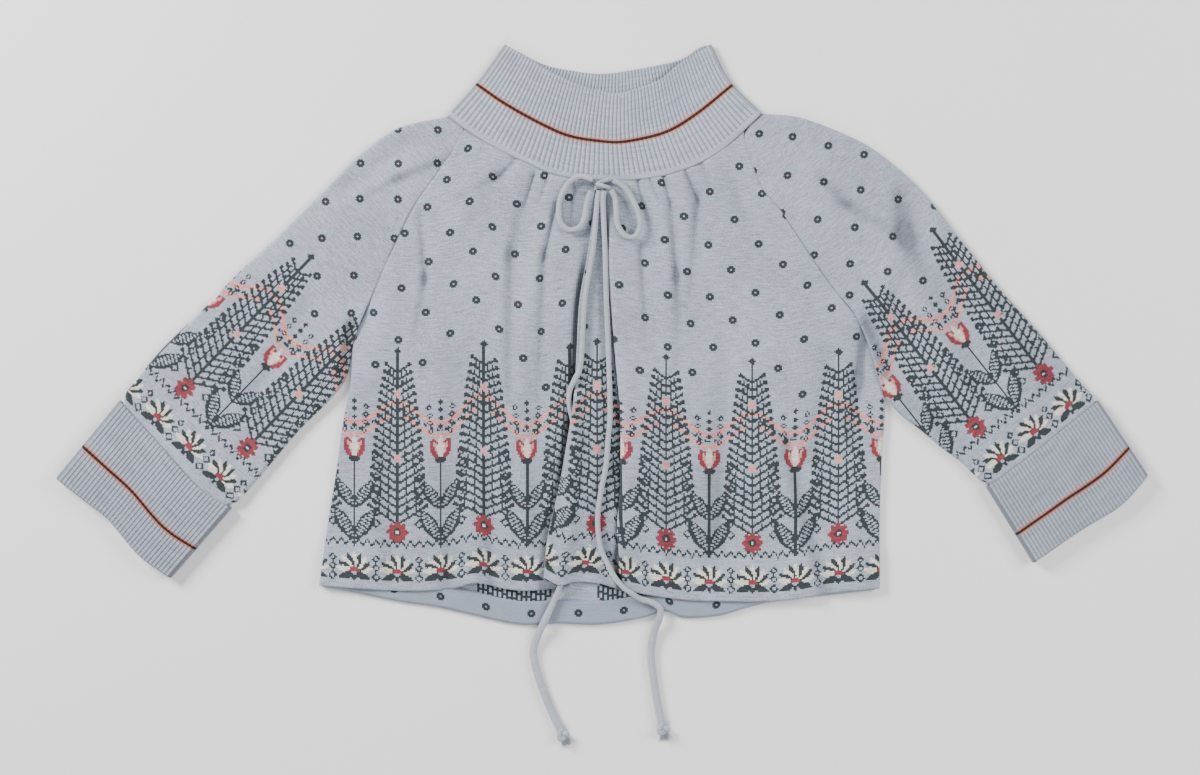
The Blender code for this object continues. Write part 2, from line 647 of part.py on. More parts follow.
def tail_knot(name, route):
    """The small knot just past a tail's end."""
    last = np.array(route[-1], dtype=float)
    before = np.array(route[-2], dtype=float)
    way = (last - before) / np.linalg.norm(last - before)
    place = last + way * (TAIL_KNOT_RADIUS + 0.4)
    return knot(name, (place[0], place[1], TAIL_KNOT_RISE), (TAIL_KNOT_RADIUS,) * 3, 10, 6)


for old in list(bpy.data.objects):
    bpy.data.objects.remove(old, do_unlink=True)
collection = bpy.data.collections.new("cropped sweater")
bpy.context.scene.collection.children.link(collection)

cuff_right = patch(line_along(CUFF_TOP_RIGHT), line_along(CUFF_END_RIGHT),
                   line_along([CUFF_TOP_RIGHT[0], CUFF_END_RIGHT[0]]),
                   line_along([CUFF_TOP_RIGHT[-1], CUFF_END_RIGHT[-1]]))
cuff_left = patch(line_along(CUFF_TOP_LEFT), line_along(CUFF_END_LEFT),
                  line_along([CUFF_TOP_LEFT[0], CUFF_END_LEFT[0]]),
                  line_along([CUFF_TOP_LEFT[-1], CUFF_END_LEFT[-1]]))

solid_panel("back_panel", back_points(21, 15), WALL, "jacquard knit")
solid_panel("back_hem_facing", facing_points(30), FACING_WALL, "inner facing")
solid_panel("right_front", right_front_points(18, np.linspace(0, 1, 24)), WALL, "jacquard knit")
solid_panel("left_front", left_front_points(19, 4, np.linspace(0.03, 1.0, 20)), WALL, "jacquard knit")
closed_loft("right_sleeve", sleeve_rings(seam_right, SLEEVE_TOP_RIGHT, SLEEVE_LOW_RIGHT, cuff_right,
                                         FOLDS_SLEEVE_RIGHT, -1.0), "jacquard knit")
closed_loft("left_sleeve", sleeve_rings(seam_left, SLEEVE_TOP_LEFT, SLEEVE_LOW_LEFT, cuff_left,
                                        FOLDS_SLEEVE_LEFT, 1.0), "jacquard knit")
closed_loft("collar", collar_rings(), "rib knit")
closed_loft("right_cuff", cuff_rings(cuff_right), "rib knit")
closed_loft("left_cuff", cuff_rings(cuff_left), "rib knit")

cord("tail_right", TAIL_RIGHT)
cord("tail_left", TAIL_LEFT)
cord("loop_right", LOOP_RIGHT, 9.0)
cord("loop_left", LOOP_LEFT, 9.0)
knot("bow_knot", KNOT_PLACE, KNOT_SIZE)
tail_knot("tail_knot_right", TAIL_RIGHT)
tail_knot("tail_knot_left", TAIL_LEFT)
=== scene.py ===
# %% [markdown]
# # A cropped jacquard sweater, laid flat
# The real sweater is knitted in two yarns, cut into panels and linked together: a back, two fronts, two raglan
# sleeves, a ribbed funnel collar and two turned-up rib cuffs, with a round knitted drawstring. It could be made by
# draping flat panels with a cloth simulation. Here each panel is placed one by one instead, because the photograph
# shows exactly where its few long folds lie. This first cell loads the measured frame that every piece sits in.

# %% Load the frame
import math

import bpy
import numpy as np
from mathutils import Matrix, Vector


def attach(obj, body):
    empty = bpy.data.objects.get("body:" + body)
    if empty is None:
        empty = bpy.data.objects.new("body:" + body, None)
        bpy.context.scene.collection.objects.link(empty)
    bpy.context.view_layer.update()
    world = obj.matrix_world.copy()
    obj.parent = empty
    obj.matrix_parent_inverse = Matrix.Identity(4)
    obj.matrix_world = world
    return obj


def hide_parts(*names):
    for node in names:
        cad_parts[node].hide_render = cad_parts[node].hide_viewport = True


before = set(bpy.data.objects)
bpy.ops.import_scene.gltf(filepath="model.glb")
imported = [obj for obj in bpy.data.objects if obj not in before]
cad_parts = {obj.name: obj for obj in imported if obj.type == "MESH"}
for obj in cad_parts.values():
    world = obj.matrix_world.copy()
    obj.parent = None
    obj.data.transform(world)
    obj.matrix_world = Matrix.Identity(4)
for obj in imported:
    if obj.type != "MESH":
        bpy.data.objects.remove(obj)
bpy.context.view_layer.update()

MM = 0.001
print("frame nodes:", sorted(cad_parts))

# %% [markdown]
# ## Camera, light and floor
# The photograph is taken from straight above, in soft light, with a pale sheet under the sweater. A long lens far
# above keeps the picture flat. The smallest and strongest light stands at the upper left, so that each fold gets a
# bright and a dark flank. Two wider lights and the pale floor fill the shadows.

# %% Camera and floor
PICTURE_MIDDLE = (-0.002, -0.0535)
PICTURE_WIDTH = 1.2
CAMERA_HEIGHT = 2.6
FLOOR_REACH = 6.0
FLOOR_DROP = 0.0006       # keeps the floor just clear of the cloth


def put_in_scene(name, data, place):
    """A named object in the scene."""
    made = bpy.data.objects.new(name, data)
    made.location = place
    bpy.context.scene.collection.objects.link(made)
    return made


camera_data = bpy.data.cameras.new("camera above")
camera_data.sensor_width = 36.0
camera_data.lens = camera_data.sensor_width * CAMERA_HEIGHT / PICTURE_WIDTH
bpy.context.scene.camera = put_in_scene("camera above", camera_data, (*PICTURE_MIDDLE, CAMERA_HEIGHT))
floor_mesh = bpy.data.meshes.new("floor")
floor_mesh.from_pydata([(FLOOR_REACH * x, FLOOR_REACH * y, 0) for x, y in [(-1, -1), (1, -1), (1, 1), (-1, 1)]],
                       [], [(0, 1, 2, 3)])
put_in_scene("floor", floor_mesh, (0, 0, -FLOOR_DROP))
print("lens", round(camera_data.lens, 1), "mm at", CAMERA_HEIGHT, "m")

# %% Soft studio light
LIGHTS = [("window light", (-1.9, 1.3, 1.3), 0.9, 142), ("side light", (2.1, 0.7, 1.5), 1.3, 72),
          ("fill light", (0.2, -2.2, 2.0), 2.0, 56)]
AIR_COLOUR = (0.93, 0.95, 1.0, 1.0)
AIR_STRENGTH = 0.31

for name, place, size, power in LIGHTS:
    data = bpy.data.lights.new(name, "AREA")
    data.shape = "SQUARE"
    data.size = size
    data.energy = power
    light = put_in_scene(name, data, place)
    aim = Vector((*PICTURE_MIDDLE, 0.0)) - light.location
    light.rotation_euler = aim.to_track_quat("-Z", "Y").to_euler()
world = bpy.data.worlds.new("studio air")
bpy.context.scene.world = world
world.use_nodes = True
world.node_tree.nodes["Background"].inputs["Color"].default_value = AIR_COLOUR
world.node_tree.nodes["Background"].inputs["Strength"].default_value = AIR_STRENGTH
print("lights:", [row[0] for row in LIGHTS])

# %% [markdown]
# ## Smooth lines and surfaces
# Every outline is a short table of given points, in millimetres. A smooth run turns such a table into a
# curve, and a patch fills the space between four curves. The same tables shaped the measured frame, so the cloth
# lies where the frame says.


# %% Curves
def ease(value):
    """Smooth step from 0 to 1."""
    value = np.clip(value, 0.0, 1.0)
    return value * value * (3.0 - 2.0 * value)


def smooth_run(points, steps=16):
    """Dense points of a smooth curve through the given ones."""
    points = np.asarray(points, dtype=float)
    if len(points) < 3:
        return points
    padded = np.vstack([2 * points[0] - points[1], points, 2 * points[-1] - points[-2]])
    share = np.linspace(0.0, 1.0, steps, endpoint=False)[:, None]
    runs = []
    for i in range(len(points) - 1):
        a, b, c, d = padded[i:i + 4]
        runs.append(0.5 * (2 * b + (c - a) * share + (2 * a - 5 * b + 4 * c - d) * share ** 2
                           + (3 * b - a - 3 * c + d) * share ** 3))
    return np.vstack([*runs, points[-1:]])


def reader(points, by=1):
    """A function that reads one coordinate of a smooth run from the other: y from x when by is 0."""
    run = smooth_run(points)
    run = run[np.argsort(run[:, by], kind="stable")]
    return lambda value: np.interp(value, run[:, by], run[:, 1 - by])


def between(points, low_x, high_x):
    """The stretch of a smooth run between two places across."""
    run = smooth_run(points)
    return run[(run[:, 0] > low_x) & (run[:, 0] < high_x)]


def reach_along(path):
    """Distance of each point from the first, along the path."""
    return np.concatenate([[0.0], np.cumsum(np.linalg.norm(np.diff(path, axis=0), axis=1))])


def line_along(*runs, shift=0.0):
    """A function of 0 to 1 by length, along smooth runs that meet at corners."""
    path = np.vstack([smooth_run(run) for run in runs])
    steps = np.linalg.norm(np.diff(path, axis=0), axis=1)
    path = path[np.concatenate([[True], steps > 1e-9])]
    reach = reach_along(path)

    def at(share):
        where = np.asarray(share, dtype=float) * reach[-1]
        return np.stack([np.interp(where, reach, path[:, k]) for k in range(path.shape[1])], axis=-1) + shift

    at.length = reach[-1]
    return at


def patch(start, end, left, right):
    """A surface between four lines: s runs from start to end, t from left to right."""
    def at(s, t):
        a = np.asarray(s, dtype=float)[..., None]
        b = np.asarray(t, dtype=float)[..., None]
        corners = ((1 - a) * (1 - b) * start(0.0) + (1 - a) * b * start(1.0)
                   + a * (1 - b) * end(0.0) + a * b * end(1.0))
        return (1 - b) * left(s) + b * right(s) + (1 - a) * start(t) + a * end(t) - corners

    return at


print("curve helpers ready")

# %% [markdown]
# ## The drawstring
# A round knitted cord is tied in a small bow at the neck. Two tails hang from the bow: one slips under the free
# edge of the front and comes out at the hem, the other lies beside the deep fold. Below the hem both lie relaxed
# and a little wider. A curve with a bevel would be quick, but a knitted cord has rows of small stitches, so each
# one is a tube of rings with its own stitch coordinates.

# %% Routes of the cord
TAIL_RIGHT = [(-3, 142.6, 13.0), (-5, 130, 12.0), (-9, 84, 11.2), (-17, 34, 11.2), (-21, -28, 11.2),
              (-26.5, -44, 11.0), (-32, -56, 9.2), (-32.5, -70, 8.2), (-29, -88, 8.1), (-27, -110, 8.1),
              (-30, -150, 8.1), (-35, -200, 8.2), (-39, -236, 8.9), (-41, -249, 9.3), (-46, -262, 7.6),
              (-52, -275, 7.5), (-58, -288, 7.4), (-63, -299, 4.8), (-68, -313, 2.6), (-68, -325, 2.5),
              (-63, -345, 2.5), (-56, -364, 2.5), (-48, -383, 2.5), (-41, -397, 2.5)]
TAIL_LEFT = [(2, 142.2, 13.4), (1, 130, 12.4), (3, 84, 11.0), (4, 44, 10.3), (7, -35, 8.8), (8, -81, 8.4),
             (6, -106, 8.3), (4, -131, 8.2), (-1, -157, 8.2), (-4, -177, 8.2), (-4, -195, 8.3), (-1, -214, 8.9),
             (5, -228, 10.2), (12, -241, 12.4), (20, -251, 14.0), (29, -258, 13.0), (38, -264, 9.6),
             (50, -268, 7.9), (58, -274, 7.5), (57, -284, 6.6), (53, -295, 4.2), (50, -308, 2.6),
             (49, -325, 2.5), (52, -347, 2.5), (56, -373, 2.5), (60, -391, 2.5)]
LOOP_RIGHT = [(-9, 153, 14.0), (-18, 156, 13.0), (-27, 155, 12.0), (-35, 148, 11.2), (-41, 136, 11.3),
              (-43, 124, 11.2), (-41, 111, 10.6), (-34, 104, 10.4), (-27, 104, 10.4), (-21, 108, 10.4),
              (-17, 118, 10.8), (-15, 131, 11.6), (-11, 142, 13.0)]
LOOP_LEFT = [(11, 152, 14.0), (18, 149, 13.0), (26, 142, 12.4), (32, 131, 12.2), (37, 118, 12.0),
             (38, 107, 11.8), (34, 98, 11.8), (27, 96, 12.2), (20, 101, 13.0), (15, 111, 13.2),
             (14, 124, 13.2), (13, 135, 13.2), (9, 143, 13.8)]
CORDS = [("tail_right", TAIL_RIGHT, 0.556), ("tail_left", TAIL_LEFT, 0.566),
         ("loop_right", LOOP_RIGHT, 0.129), ("loop_left", LOOP_LEFT, 0.127)]      # name, route, metres
CORD_RADIUS = 2.8
CORD_RAISE = (0.0, 0.0, 0.45)
CORD_WALES = 6            # chains of stitches round the cord
CORD_STITCH = 2.1         # length of one stitch along it
CORD_YARN = (0.445, 0.475, 0.53)
RING_STEP = 1.05
RELAXED_BELOW = -252.0    # from the hem on, the cord lies relaxed and wider
RELAXED_GAIN = 0.4
print("cords:", [row[0] for row in CORDS])

# %% Pieces, painted faces and tubes of stitches
pieces_of = {}            # the pieces that take each material slot


def put(name, mesh, slot, node=None):
    """A named piece that rides on the garment, with its material slot and the solid that it stands for."""
    made = put_in_scene(name, mesh, (0, 0, 0))
    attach(made, "root")
    if node:
        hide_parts(node)
    pieces_of.setdefault(slot, []).append(made)
    return made


def mesh_of(name, points, faces, smooth=True):
    """Mesh data from points in millimetres and rows of corner numbers."""
    mesh = bpy.data.meshes.new(name)
    mesh.from_pydata((points * MM).tolist(), [], faces)
    if smooth:
        mesh.shade_smooth()
    return mesh


def paint(mesh, coords, colours):
    """Gives each face its stitch coordinates at its corners, and one yarn colour."""
    uv = mesh.uv_layers.new(name="stitches")
    corner_verts = np.empty(len(mesh.loops), dtype=np.int64)
    mesh.loops.foreach_get("vertex_index", corner_verts)
    uv.uv.foreach_set("vector", np.asarray(coords, dtype=np.float32)[corner_verts].ravel())
    counts = np.empty(len(mesh.polygons), dtype=np.int64)
    mesh.polygons.foreach_get("loop_total", counts)
    layer = mesh.color_attributes.new(name="yarn", type="BYTE_COLOR", domain="CORNER")
    spread = np.repeat(np.column_stack([colours, np.ones(len(colours))]), counts, axis=0)
    layer.data.foreach_set("color", spread.astype(np.float32).ravel())


def unit(rows):
    """Rows of vectors scaled to length 1."""
    return rows / np.maximum(np.linalg.norm(rows, axis=1), 1e-9)[:, None]


def ring_faces(rings, count, closed=False):
    """Faces between neighbouring rings of points, and from the last ring to the first when closed."""
    k, j = np.meshgrid(np.arange(rings if closed else rings - 1), np.arange(count), indexing="ij")
    n, m = (j + 1) % count, (k + 1) % rings
    return np.stack([k * count + j, k * count + n, m * count + n, m * count + j], axis=-1).reshape(-1, 4)


def tube(name, node, path, radius, sides=18, widen=None):
    """A closed tube about a dense path in millimetres, grooved between its chains of stitches."""
    way = unit(np.gradient(path, axis=0))
    side = unit(np.cross(way[:1], (0.0, 0.0, 1.0)))[0]
    run = reach_along(path)
    turn = np.linspace(0, 2 * math.pi, sides, endpoint=False)
    verts, coords = [], []
    for k, centre in enumerate(path):
        side = side - way[k] * (side @ way[k])
        side = side / np.linalg.norm(side)
        bead = 0.05 * math.cos(2 * math.pi * run[k] / CORD_STITCH)
        size = radius * (1.0 - 0.07 * (0.5 + 0.5 * np.cos(CORD_WALES * turn)) + bead)
        wide = size * (1.0 if widen is None else widen[k])
        verts.append(centre + np.outer(np.cos(turn) * wide, side)
                     + np.outer(np.sin(turn) * size, np.cross(way[k], side)))
        coords.append(np.column_stack([turn / (2 * math.pi) * CORD_WALES, np.full(sides, run[k] / CORD_STITCH)]))
    faces = ring_faces(len(path), sides).tolist()
    last = (len(path) - 1) * sides
    faces += [tuple(range(sides - 1, -1, -1)), tuple(range(last, last + sides))]
    mesh = mesh_of(name, np.vstack(verts), faces)
    paint(mesh, np.vstack(coords), np.tile(CORD_YARN, (len(faces), 1)))
    return put(name, mesh, "drawstring", node)


cord_paths = {}
for name, route, metres in CORDS:
    line = line_along(route)
    path = line(np.linspace(0, 1, round(line.length / RING_STEP))) + CORD_RAISE
    relaxed = 1.0 + RELAXED_GAIN * ease((RELAXED_BELOW - path[:, 1]) / 40.0)
    tube("cord_" + name, name, path, CORD_RADIUS, widen=relaxed)
    cord_paths[name] = path
    print(name, "is", round(line.length), "mm long")

# %% [markdown]
# ## Knots
# The bow is held by one wrap of the cord round its middle, and each tail ends in a small overhand knot with a
# short frayed tip. A trefoil, the simplest closed knot, has just the shape of a tight overhand knot, so the same
# tube is run along it.

# %% Bow wrap
KNOT_PLACE = np.array([1.0, 149.0, 13.6])
turn = np.linspace(-0.35 * math.pi, 2.15 * math.pi, 70)
wrap_path = np.column_stack([5.6 * np.cos(turn), 1.5 * turn - 4.6, 3.4 * np.sin(turn)]) + KNOT_PLACE
bow_wrap = tube("bow_wrap", "bow_knot", wrap_path, CORD_RADIUS * 0.8)
print("bow wrap at", KNOT_PLACE)

# %% Tail knots and frayed tips
KNOT_RADIUS = 2.5
KNOT_HEIGHT = 4.6
YARN_ENDS = 48
YARN_WIDTH = 0.42


def end_knot(name, node, path):
    """A tight overhand knot just past the end of a tail, lying on the surface."""
    way = path[-1] - path[-4]
    way = way / np.linalg.norm(way)
    middle = path[-1] + way * 4.0
    turn = np.linspace(0, 2 * math.pi, 90)
    x = (np.sin(turn) + 2 * np.sin(2 * turn)) * 1.65
    y = (np.cos(turn) - 2 * np.cos(2 * turn)) * 1.35
    z = -np.sin(3 * turn) * 1.7
    across = np.array([way[1], -way[0], 0.0])
    knot_path = middle * (1, 1, 0) + np.outer(x, across) + np.outer(y, way * (1, 1, 0))
    knot_path[:, 2] = KNOT_HEIGHT + z
    return tube(name, node, knot_path, KNOT_RADIUS, sides=14), middle, way


def frayed_tip(name, middle, way):
    """Loose yarn ends past the knot, thin and slightly spread."""
    seed = np.random.default_rng(7)
    verts, faces = [], []
    across = np.array([way[1], -way[0], 0.0])
    for k in range(YARN_ENDS):
        spread = seed.uniform(-0.6, 0.6)
        reach = seed.uniform(5.0, 9.5)
        start = middle + way * 3.2 + across * seed.uniform(-3.0, 3.0)
        start[2] = seed.uniform(1.2, 3.6)
        heading = way + across * spread
        faces += (ring_faces(4, 3) + len(verts)).tolist()
        for share in (0.0, 1 / 3, 2 / 3, 1.0):
            spot = start + heading * reach * share + across * 0.8 * math.sin(3 * share + k)
            spot[2] = start[2] * (1 - share) + 0.5
            width = YARN_WIDTH * (1 - 0.6 * share)
            verts += [spot + across * width, spot - across * width, spot + (0, 0, width * 1.4)]
    mesh = mesh_of(name, np.array(verts), faces, smooth=False)
    paint(mesh, np.zeros((len(verts), 2)), np.tile(CORD_YARN, (len(faces), 1)))
    return put(name, mesh, "drawstring")


ends = {}
for side_name in ("right", "left"):
    tail = "tail_" + side_name
    knot, middle, way = end_knot("end_knot_" + side_name, "tail_knot_" + side_name, cord_paths[tail])
    ends[tail] = [knot, frayed_tip("frayed_tip_" + side_name, middle, way)]
ends["tail_left"].append(bow_wrap)
print("cord pieces:", [piece.name for piece in pieces_of["drawstring"]])

# %% [markdown]
# ## Yarn colours and the jacquard
# A jacquard shows its pattern stitch by stitch, so each face of a panel is one stitch and carries the colour of
# the yarn that shows there. An image would be the usual way. Here short drawing rules decide each stitch instead,
# from its place in the cloth: how far across, and how far above the hem. The border is a folk pattern of its own,
# with fir sprays, tulips, rosettes and half daisies, and small ring dots are scattered above it.

# %% Yarns
YARNS = {
    "ground": (0.370, 0.407, 0.482),
    "dark": (0.030, 0.040, 0.042),
    "red": (0.260, 0.040, 0.055),
    "pink": (0.700, 0.300, 0.285),
    "cream": (0.720, 0.690, 0.600),
    "maroon": (0.050, 0.014, 0.012),
    "orange": (0.600, 0.180, 0.095),
    "salmon": (0.560, 0.360, 0.340),
}
YARN_NAMES = list(YARNS)
YARN_TABLE = np.array([YARNS[name] for name in YARN_NAMES])
GROUND, DARK, RED, PINK, CREAM, MAROON, ORANGE, SALMON = range(len(YARN_NAMES))
print("yarns:", YARN_NAMES)


# %% Drawing rules for small shapes
def on_stroke(x, y, x0, y0, x1, y1, half):
    """Stitches within half a width of a straight stroke."""
    dx, dy = x1 - x0, y1 - y0
    along = np.clip(((x - x0) * dx + (y - y0) * dy) / (dx * dx + dy * dy), 0.0, 1.0)
    return np.hypot(x - x0 - along * dx, y - y0 - along * dy) < half


def on_disc(x, y, cx, cy, rx, ry=None):
    """Stitches inside an oval."""
    return ((x - cx) / rx) ** 2 + ((y - cy) / (ry or rx)) ** 2 < 1.0


def on_leaf(x, y, cx, cy, degrees, length, half, start=0.0):
    """Stitches inside a pointed leaf that grows from (cx, cy)."""
    turn = math.radians(degrees)
    along = (x - cx) * math.cos(turn) + (y - cy) * math.sin(turn)
    off = -(x - cx) * math.sin(turn) + (y - cy) * math.cos(turn)
    inside = (along > start * length) & (along < length)
    return inside & (np.abs(off) < half * np.sin(math.pi * np.clip(along / length, 0, 1)) ** 0.8)


def on_diamond(x, y, cx, cy, half, thick=None):
    """Stitches of a diamond, or of its outline when thick is given."""
    reach = np.abs(x - cx) + np.abs(y - cy)
    return reach < half if thick is None else np.abs(reach - half + thick / 2) < thick / 2


print("drawing rules ready")


# %% Motifs of the border
STROKE = 1.3              # half the width of a drawn line
TWIG_SLOPE = 0.62
TWIG_FIRST, TWIG_LAST = 66.0, 226.0


def rosette(code, x, y, cx, cy, size):
    """An eight-petalled rosette with a pale eye."""
    turn = np.arctan2(y - cy, x - cx)
    reach = np.hypot(x - cx, y - cy)
    edge = size * (0.7 + 0.3 * np.abs(np.cos(turn * 4)))
    for inside, yarn in ((edge, RED), (size * 0.36, DARK), (size * 0.14, CREAM)):
        code[reach < inside] = yarn


def fir_spray(code, x, y):
    """A tall spray with paired, upswept twigs that shorten to its tip."""
    side = np.abs(x)
    code[on_stroke(x, y, 0, 58, 0, 236, STROKE)] = DARK
    for base in np.arange(TWIG_FIRST, TWIG_LAST, 8.0):
        reach = 5.0 + 23.0 * (1.0 - (base - TWIG_FIRST) / 170.0) ** 0.6
        code[on_stroke(side, y, 0.0, base, reach, base + reach * TWIG_SLOPE, STROKE)] = DARK
        if reach > 12:
            for spot in (reach * 0.36, reach * 0.68):
                foot = base + spot * TWIG_SLOPE
                code[on_stroke(side, y, spot, foot, spot - 0.4, foot + 4.6, 1.0)] = DARK
        code[on_disc(side, y, reach + 0.6, base + reach * TWIG_SLOPE + 0.6, 2.3)] = DARK
    code[on_diamond(x, y, 0, 239, 4.2)] = DARK
    for spot in (132.0, 196.0):
        code[on_diamond(side, y, 0, spot, 4.6)] = PINK
    rosette(code, x, y, 0, 58, 11.0)


def tulip(code, x, y):
    """A shorter stem with a cupped red flower and two pairs of striped leaves."""
    side = np.abs(x)
    code[on_stroke(x, y, 0, 44, 0, 132, STROKE)] = DARK
    for base, length, half in ((48.0, 38.0, 7.4), (80.0, 32.0, 6.4)):
        leaf = on_leaf(side, y, 0.5, base, 58, length, half)
        rib = np.mod(y - base + side * 0.6, 4.2) < 2.0
        code[leaf] = DARK
        code[leaf & rib & on_leaf(side, y, 1.0, base + 2, 58, length * 0.9, half * 0.62)] = GROUND
    cup = on_leaf(side, y, -1.0, 128, 66, 25, 6.2)
    code[cup] = RED
    code[on_leaf(side, y, -1.0, 130, 66, 20, 2.2)] = PINK
    code[on_leaf(x, y, 0, 130, 90, 23, 3.6)] = CREAM
    code[on_disc(x, y, 0, 129, 6.0, 3.0)] = DARK
    for step in range(4):
        code[on_diamond(side, y, 10 + 0.6 * step, 158 + 8.0 * step, 3.4, 2.0)] = DARK
        code[on_diamond(x, y, 0, 163 + 8.0 * step, 3.0)] = DARK


def half_daisy(code, x, y):
    """A half daisy that stands on the base line, with cream and dark petals."""
    for k, degrees in enumerate(range(10, 171, 20)):
        petal = on_leaf(x, y, 0, 17, degrees, 19, 3.3, start=0.25)
        code[petal] = DARK if k % 2 else CREAM
    code[on_disc(x, y, 0, 17, 5.0) & (y > 16)] = RED
    code[on_leaf(np.abs(x), y, 0, 15, -18, 17, 3.6, start=0.1)] = DARK
    code[on_disc(x, y, 0, 11, 2.2, 2.8)] = DARK


print("motifs: fir spray, tulip, half daisy, rosette")

# %% The border and the ring dots
BORDER_REPEAT = 86.0      # from one fir spray to the next
BORDER_TOP = 250.0
DAISY_REPEAT = 43.0
DOT_REPEAT = (47.0, 52.5)
DOT_SIZE = (4.7, 3.7)
DOT_HOLE = (0.9, 0.8)
WALE = 1.62               # width of a stitch
COURSE = 1.52             # height of a stitch


def local(u, repeat, shift=0.0):
    """Distance from the middle of the nearest repeat."""
    return np.mod(u - shift + repeat / 2, repeat) - repeat / 2


def on_stitch(place, size):
    """The middle of the stitch nearest to a place."""
    return (np.floor(place / size) + 0.5) * size


def on_ring_dot(x, y):
    """Stitches of a small ring."""
    return on_disc(x, y, 0, 0, *DOT_SIZE) & ~on_disc(x, y, 0, 0, *DOT_HOLE)


def scatter_dots(code, u, above, v, shift, dots):
    """Staggered rows of ring dots, each moved a little and snapped to a stitch, wherever the sprays leave room."""
    for half in (0.0, 0.5):
        x = local(u, DOT_REPEAT[0], dots[0] + half * DOT_REPEAT[0])
        row = np.round((v - dots[1]) / DOT_REPEAT[1] - half) + half
        y = v - dots[1] - row * DOT_REPEAT[1]
        middle = v - y
        spray = np.abs(local(u - x, BORDER_REPEAT, shift))
        pull_x = 4.0 * np.sin((u - x) / 31.0 + middle / 47.0)
        pull_y = 4.5 * np.sin((u - x) / 43.0 - middle / 71.0 + 1.0)
        x = u - on_stitch(u - x + pull_x, WALE)
        y = above - on_stitch(above - y + pull_y, COURSE)
        free = (middle > 246) | ((middle > 196) & (spray > 17) & (spray < 34)) | ((middle > 204) & (spray > 22))
        code[on_ring_dot(x, y) & free] = DARK


def jacquard(u, v, shift=0.0, dots=(0.0, 0.0), hem=0.0):
    """The yarn that shows at each stitch, u millimetres across and v above the hem."""
    above, v = v, v - hem
    code = np.full(u.shape, GROUND)
    scatter_dots(code, u, above, v, shift, dots)
    border = (v > 0) & (v < BORDER_TOP)
    y = v[border]
    part = code[border]

    def across(repeat, start=0.0):
        return local(u, repeat, shift + start)[border]

    def fill(where, yarn):
        part[where & (part == GROUND)] = yarn

    x = across(BORDER_REPEAT)
    fir_spray(part, x, y)
    tulip(part, across(BORDER_REPEAT, BORDER_REPEAT / 2), y)

    # Pink garland that hangs from spray to spray, with dark berries below it
    swag = 176.0 + 11.0 * np.cos(2 * math.pi * x / BORDER_REPEAT)
    fill(np.abs(y - swag) < 2.7, PINK)
    fill((np.abs(y - swag + 6.2) < 1.3) & (np.mod(x, 6.4) < 3.8), DARK)
    fill((np.abs(y - swag + 12.2) < 2.3) & (np.abs(x) > 6), PINK)

    # Chains of small lozenges between the stems
    link = np.mod(y - 60.0, 11.5) - 5.75
    chain = across(BORDER_REPEAT / 2, BORDER_REPEAT / 4)
    fill(on_diamond(chain, link, 0, 0, 5.2, 2.5) & (y > 60) & (y < 140), DARK)

    # Base band: a zigzag line over half daisies and berries
    wave = 43.0 + 3.2 * np.abs(across(8.6)) / 2.15
    fill(np.abs(y - wave) < 1.5, DARK)
    half_daisy(part, across(DAISY_REPEAT), y)
    for place, size in ((12.0, 5.0), (21.5, 4.6), (30.0, 4.2)):
        fill(on_diamond(across(DAISY_REPEAT, DAISY_REPEAT / 2), y, 0, place, size, 2.4), DARK)
    code[border] = part
    return code


sample = jacquard(*np.meshgrid(np.arange(0, 86, 1.6), np.arange(0, 260, 1.6)))
print("share of dark stitches in the border:", round(float(np.mean(sample == DARK)), 2))

# %% [markdown]
# ## Outlines of the panels
# These tables are the frame's own outlines, in millimetres from the middle of the garment. The wearer's right is
# at negative x. Folds are rows of a table too: two ends, a half width and a height at each end. A positive height
# is a soft ridge and a negative one is a trough. The narrow creases were placed one by one from the photograph,
# so they differ in length, depth and spacing as the real ones do.

# %% Tables
WALL = 2.4
LAYER_GAP = 0.4
LAYER = WALL + LAYER_GAP
NECK_RIGHT = [(-155, 217), (-138, 203)]
NECK_LEFT = [(160, 220), (142, 196)]
RAGLAN_RIGHT = [(-138, 203), (-162, 164), (-187, 129), (-205, 94), (-227, 44), (-240, 14), (-248, -10)]
RAGLAN_LEFT = [(142, 196), (158, 149), (178, 124), (198, 94), (218, 64), (238, 36), (260, 4), (281, -62)]
SIDE_RIGHT = [(-248, -10), (-251, -51), (-258, -86), (-265, -136), (-273, -186), (-282, -251)]
SIDE_LEFT = [(281, -62), (279, -126), (277, -186), (277, -254)]
NECK_SEAM_FRONT = [(-155, 217), (-122, 194), (-82, 173), (-42, 157), (-2, 153), (38, 154), (78, 162),
                   (118, 182), (160, 220)]
NECK_SEAM_BACK = [(-138, 203), (-60, 189), (2, 185), (64, 188), (142, 196)]
COLLAR_TOP_FRONT = [(-97, 289), (-72, 274), (-42, 257), (-22, 248), (5, 241), (18, 240), (38, 246), (58, 254),
                    (78, 270), (109, 289)]
COLLAR_TOP_BACK = [(-97, 289), (-82, 281), (-62, 271), (-42, 265), (-2, 260), (38, 265), (78, 274), (98, 286),
                   (109, 289)]
COLLAR_SIDE_RIGHT = [(-155, 217), (-124, 252), (-97, 289)]
COLLAR_SIDE_LEFT = [(160, 220), (128, 252), (109, 289)]
OPENING = [(-7, 150), (-12, 94), (-22, 34), (-25, -16), (-27, -54), (-31, -86), (-41, -144), (-47, -172),
           (-54, -202), (-58, -243)]
DEEP_FOLD = [(5, 150), (8, 94), (13, 34), (19, -35), (23, -81), (23, -146), (21, -176), (18, -208), (18, -240),
             (20, -254)]
HEM_FRONT_RIGHT = [(-282, -251), (-202, -256), (-152, -254), (-127, -248), (-97, -254), (-72, -256), (-32, -252)]
HEM_FRONT_STRIP = [(-58, -243), (-42, -250), (-27, -247), (-2, -249), (20, -256)]
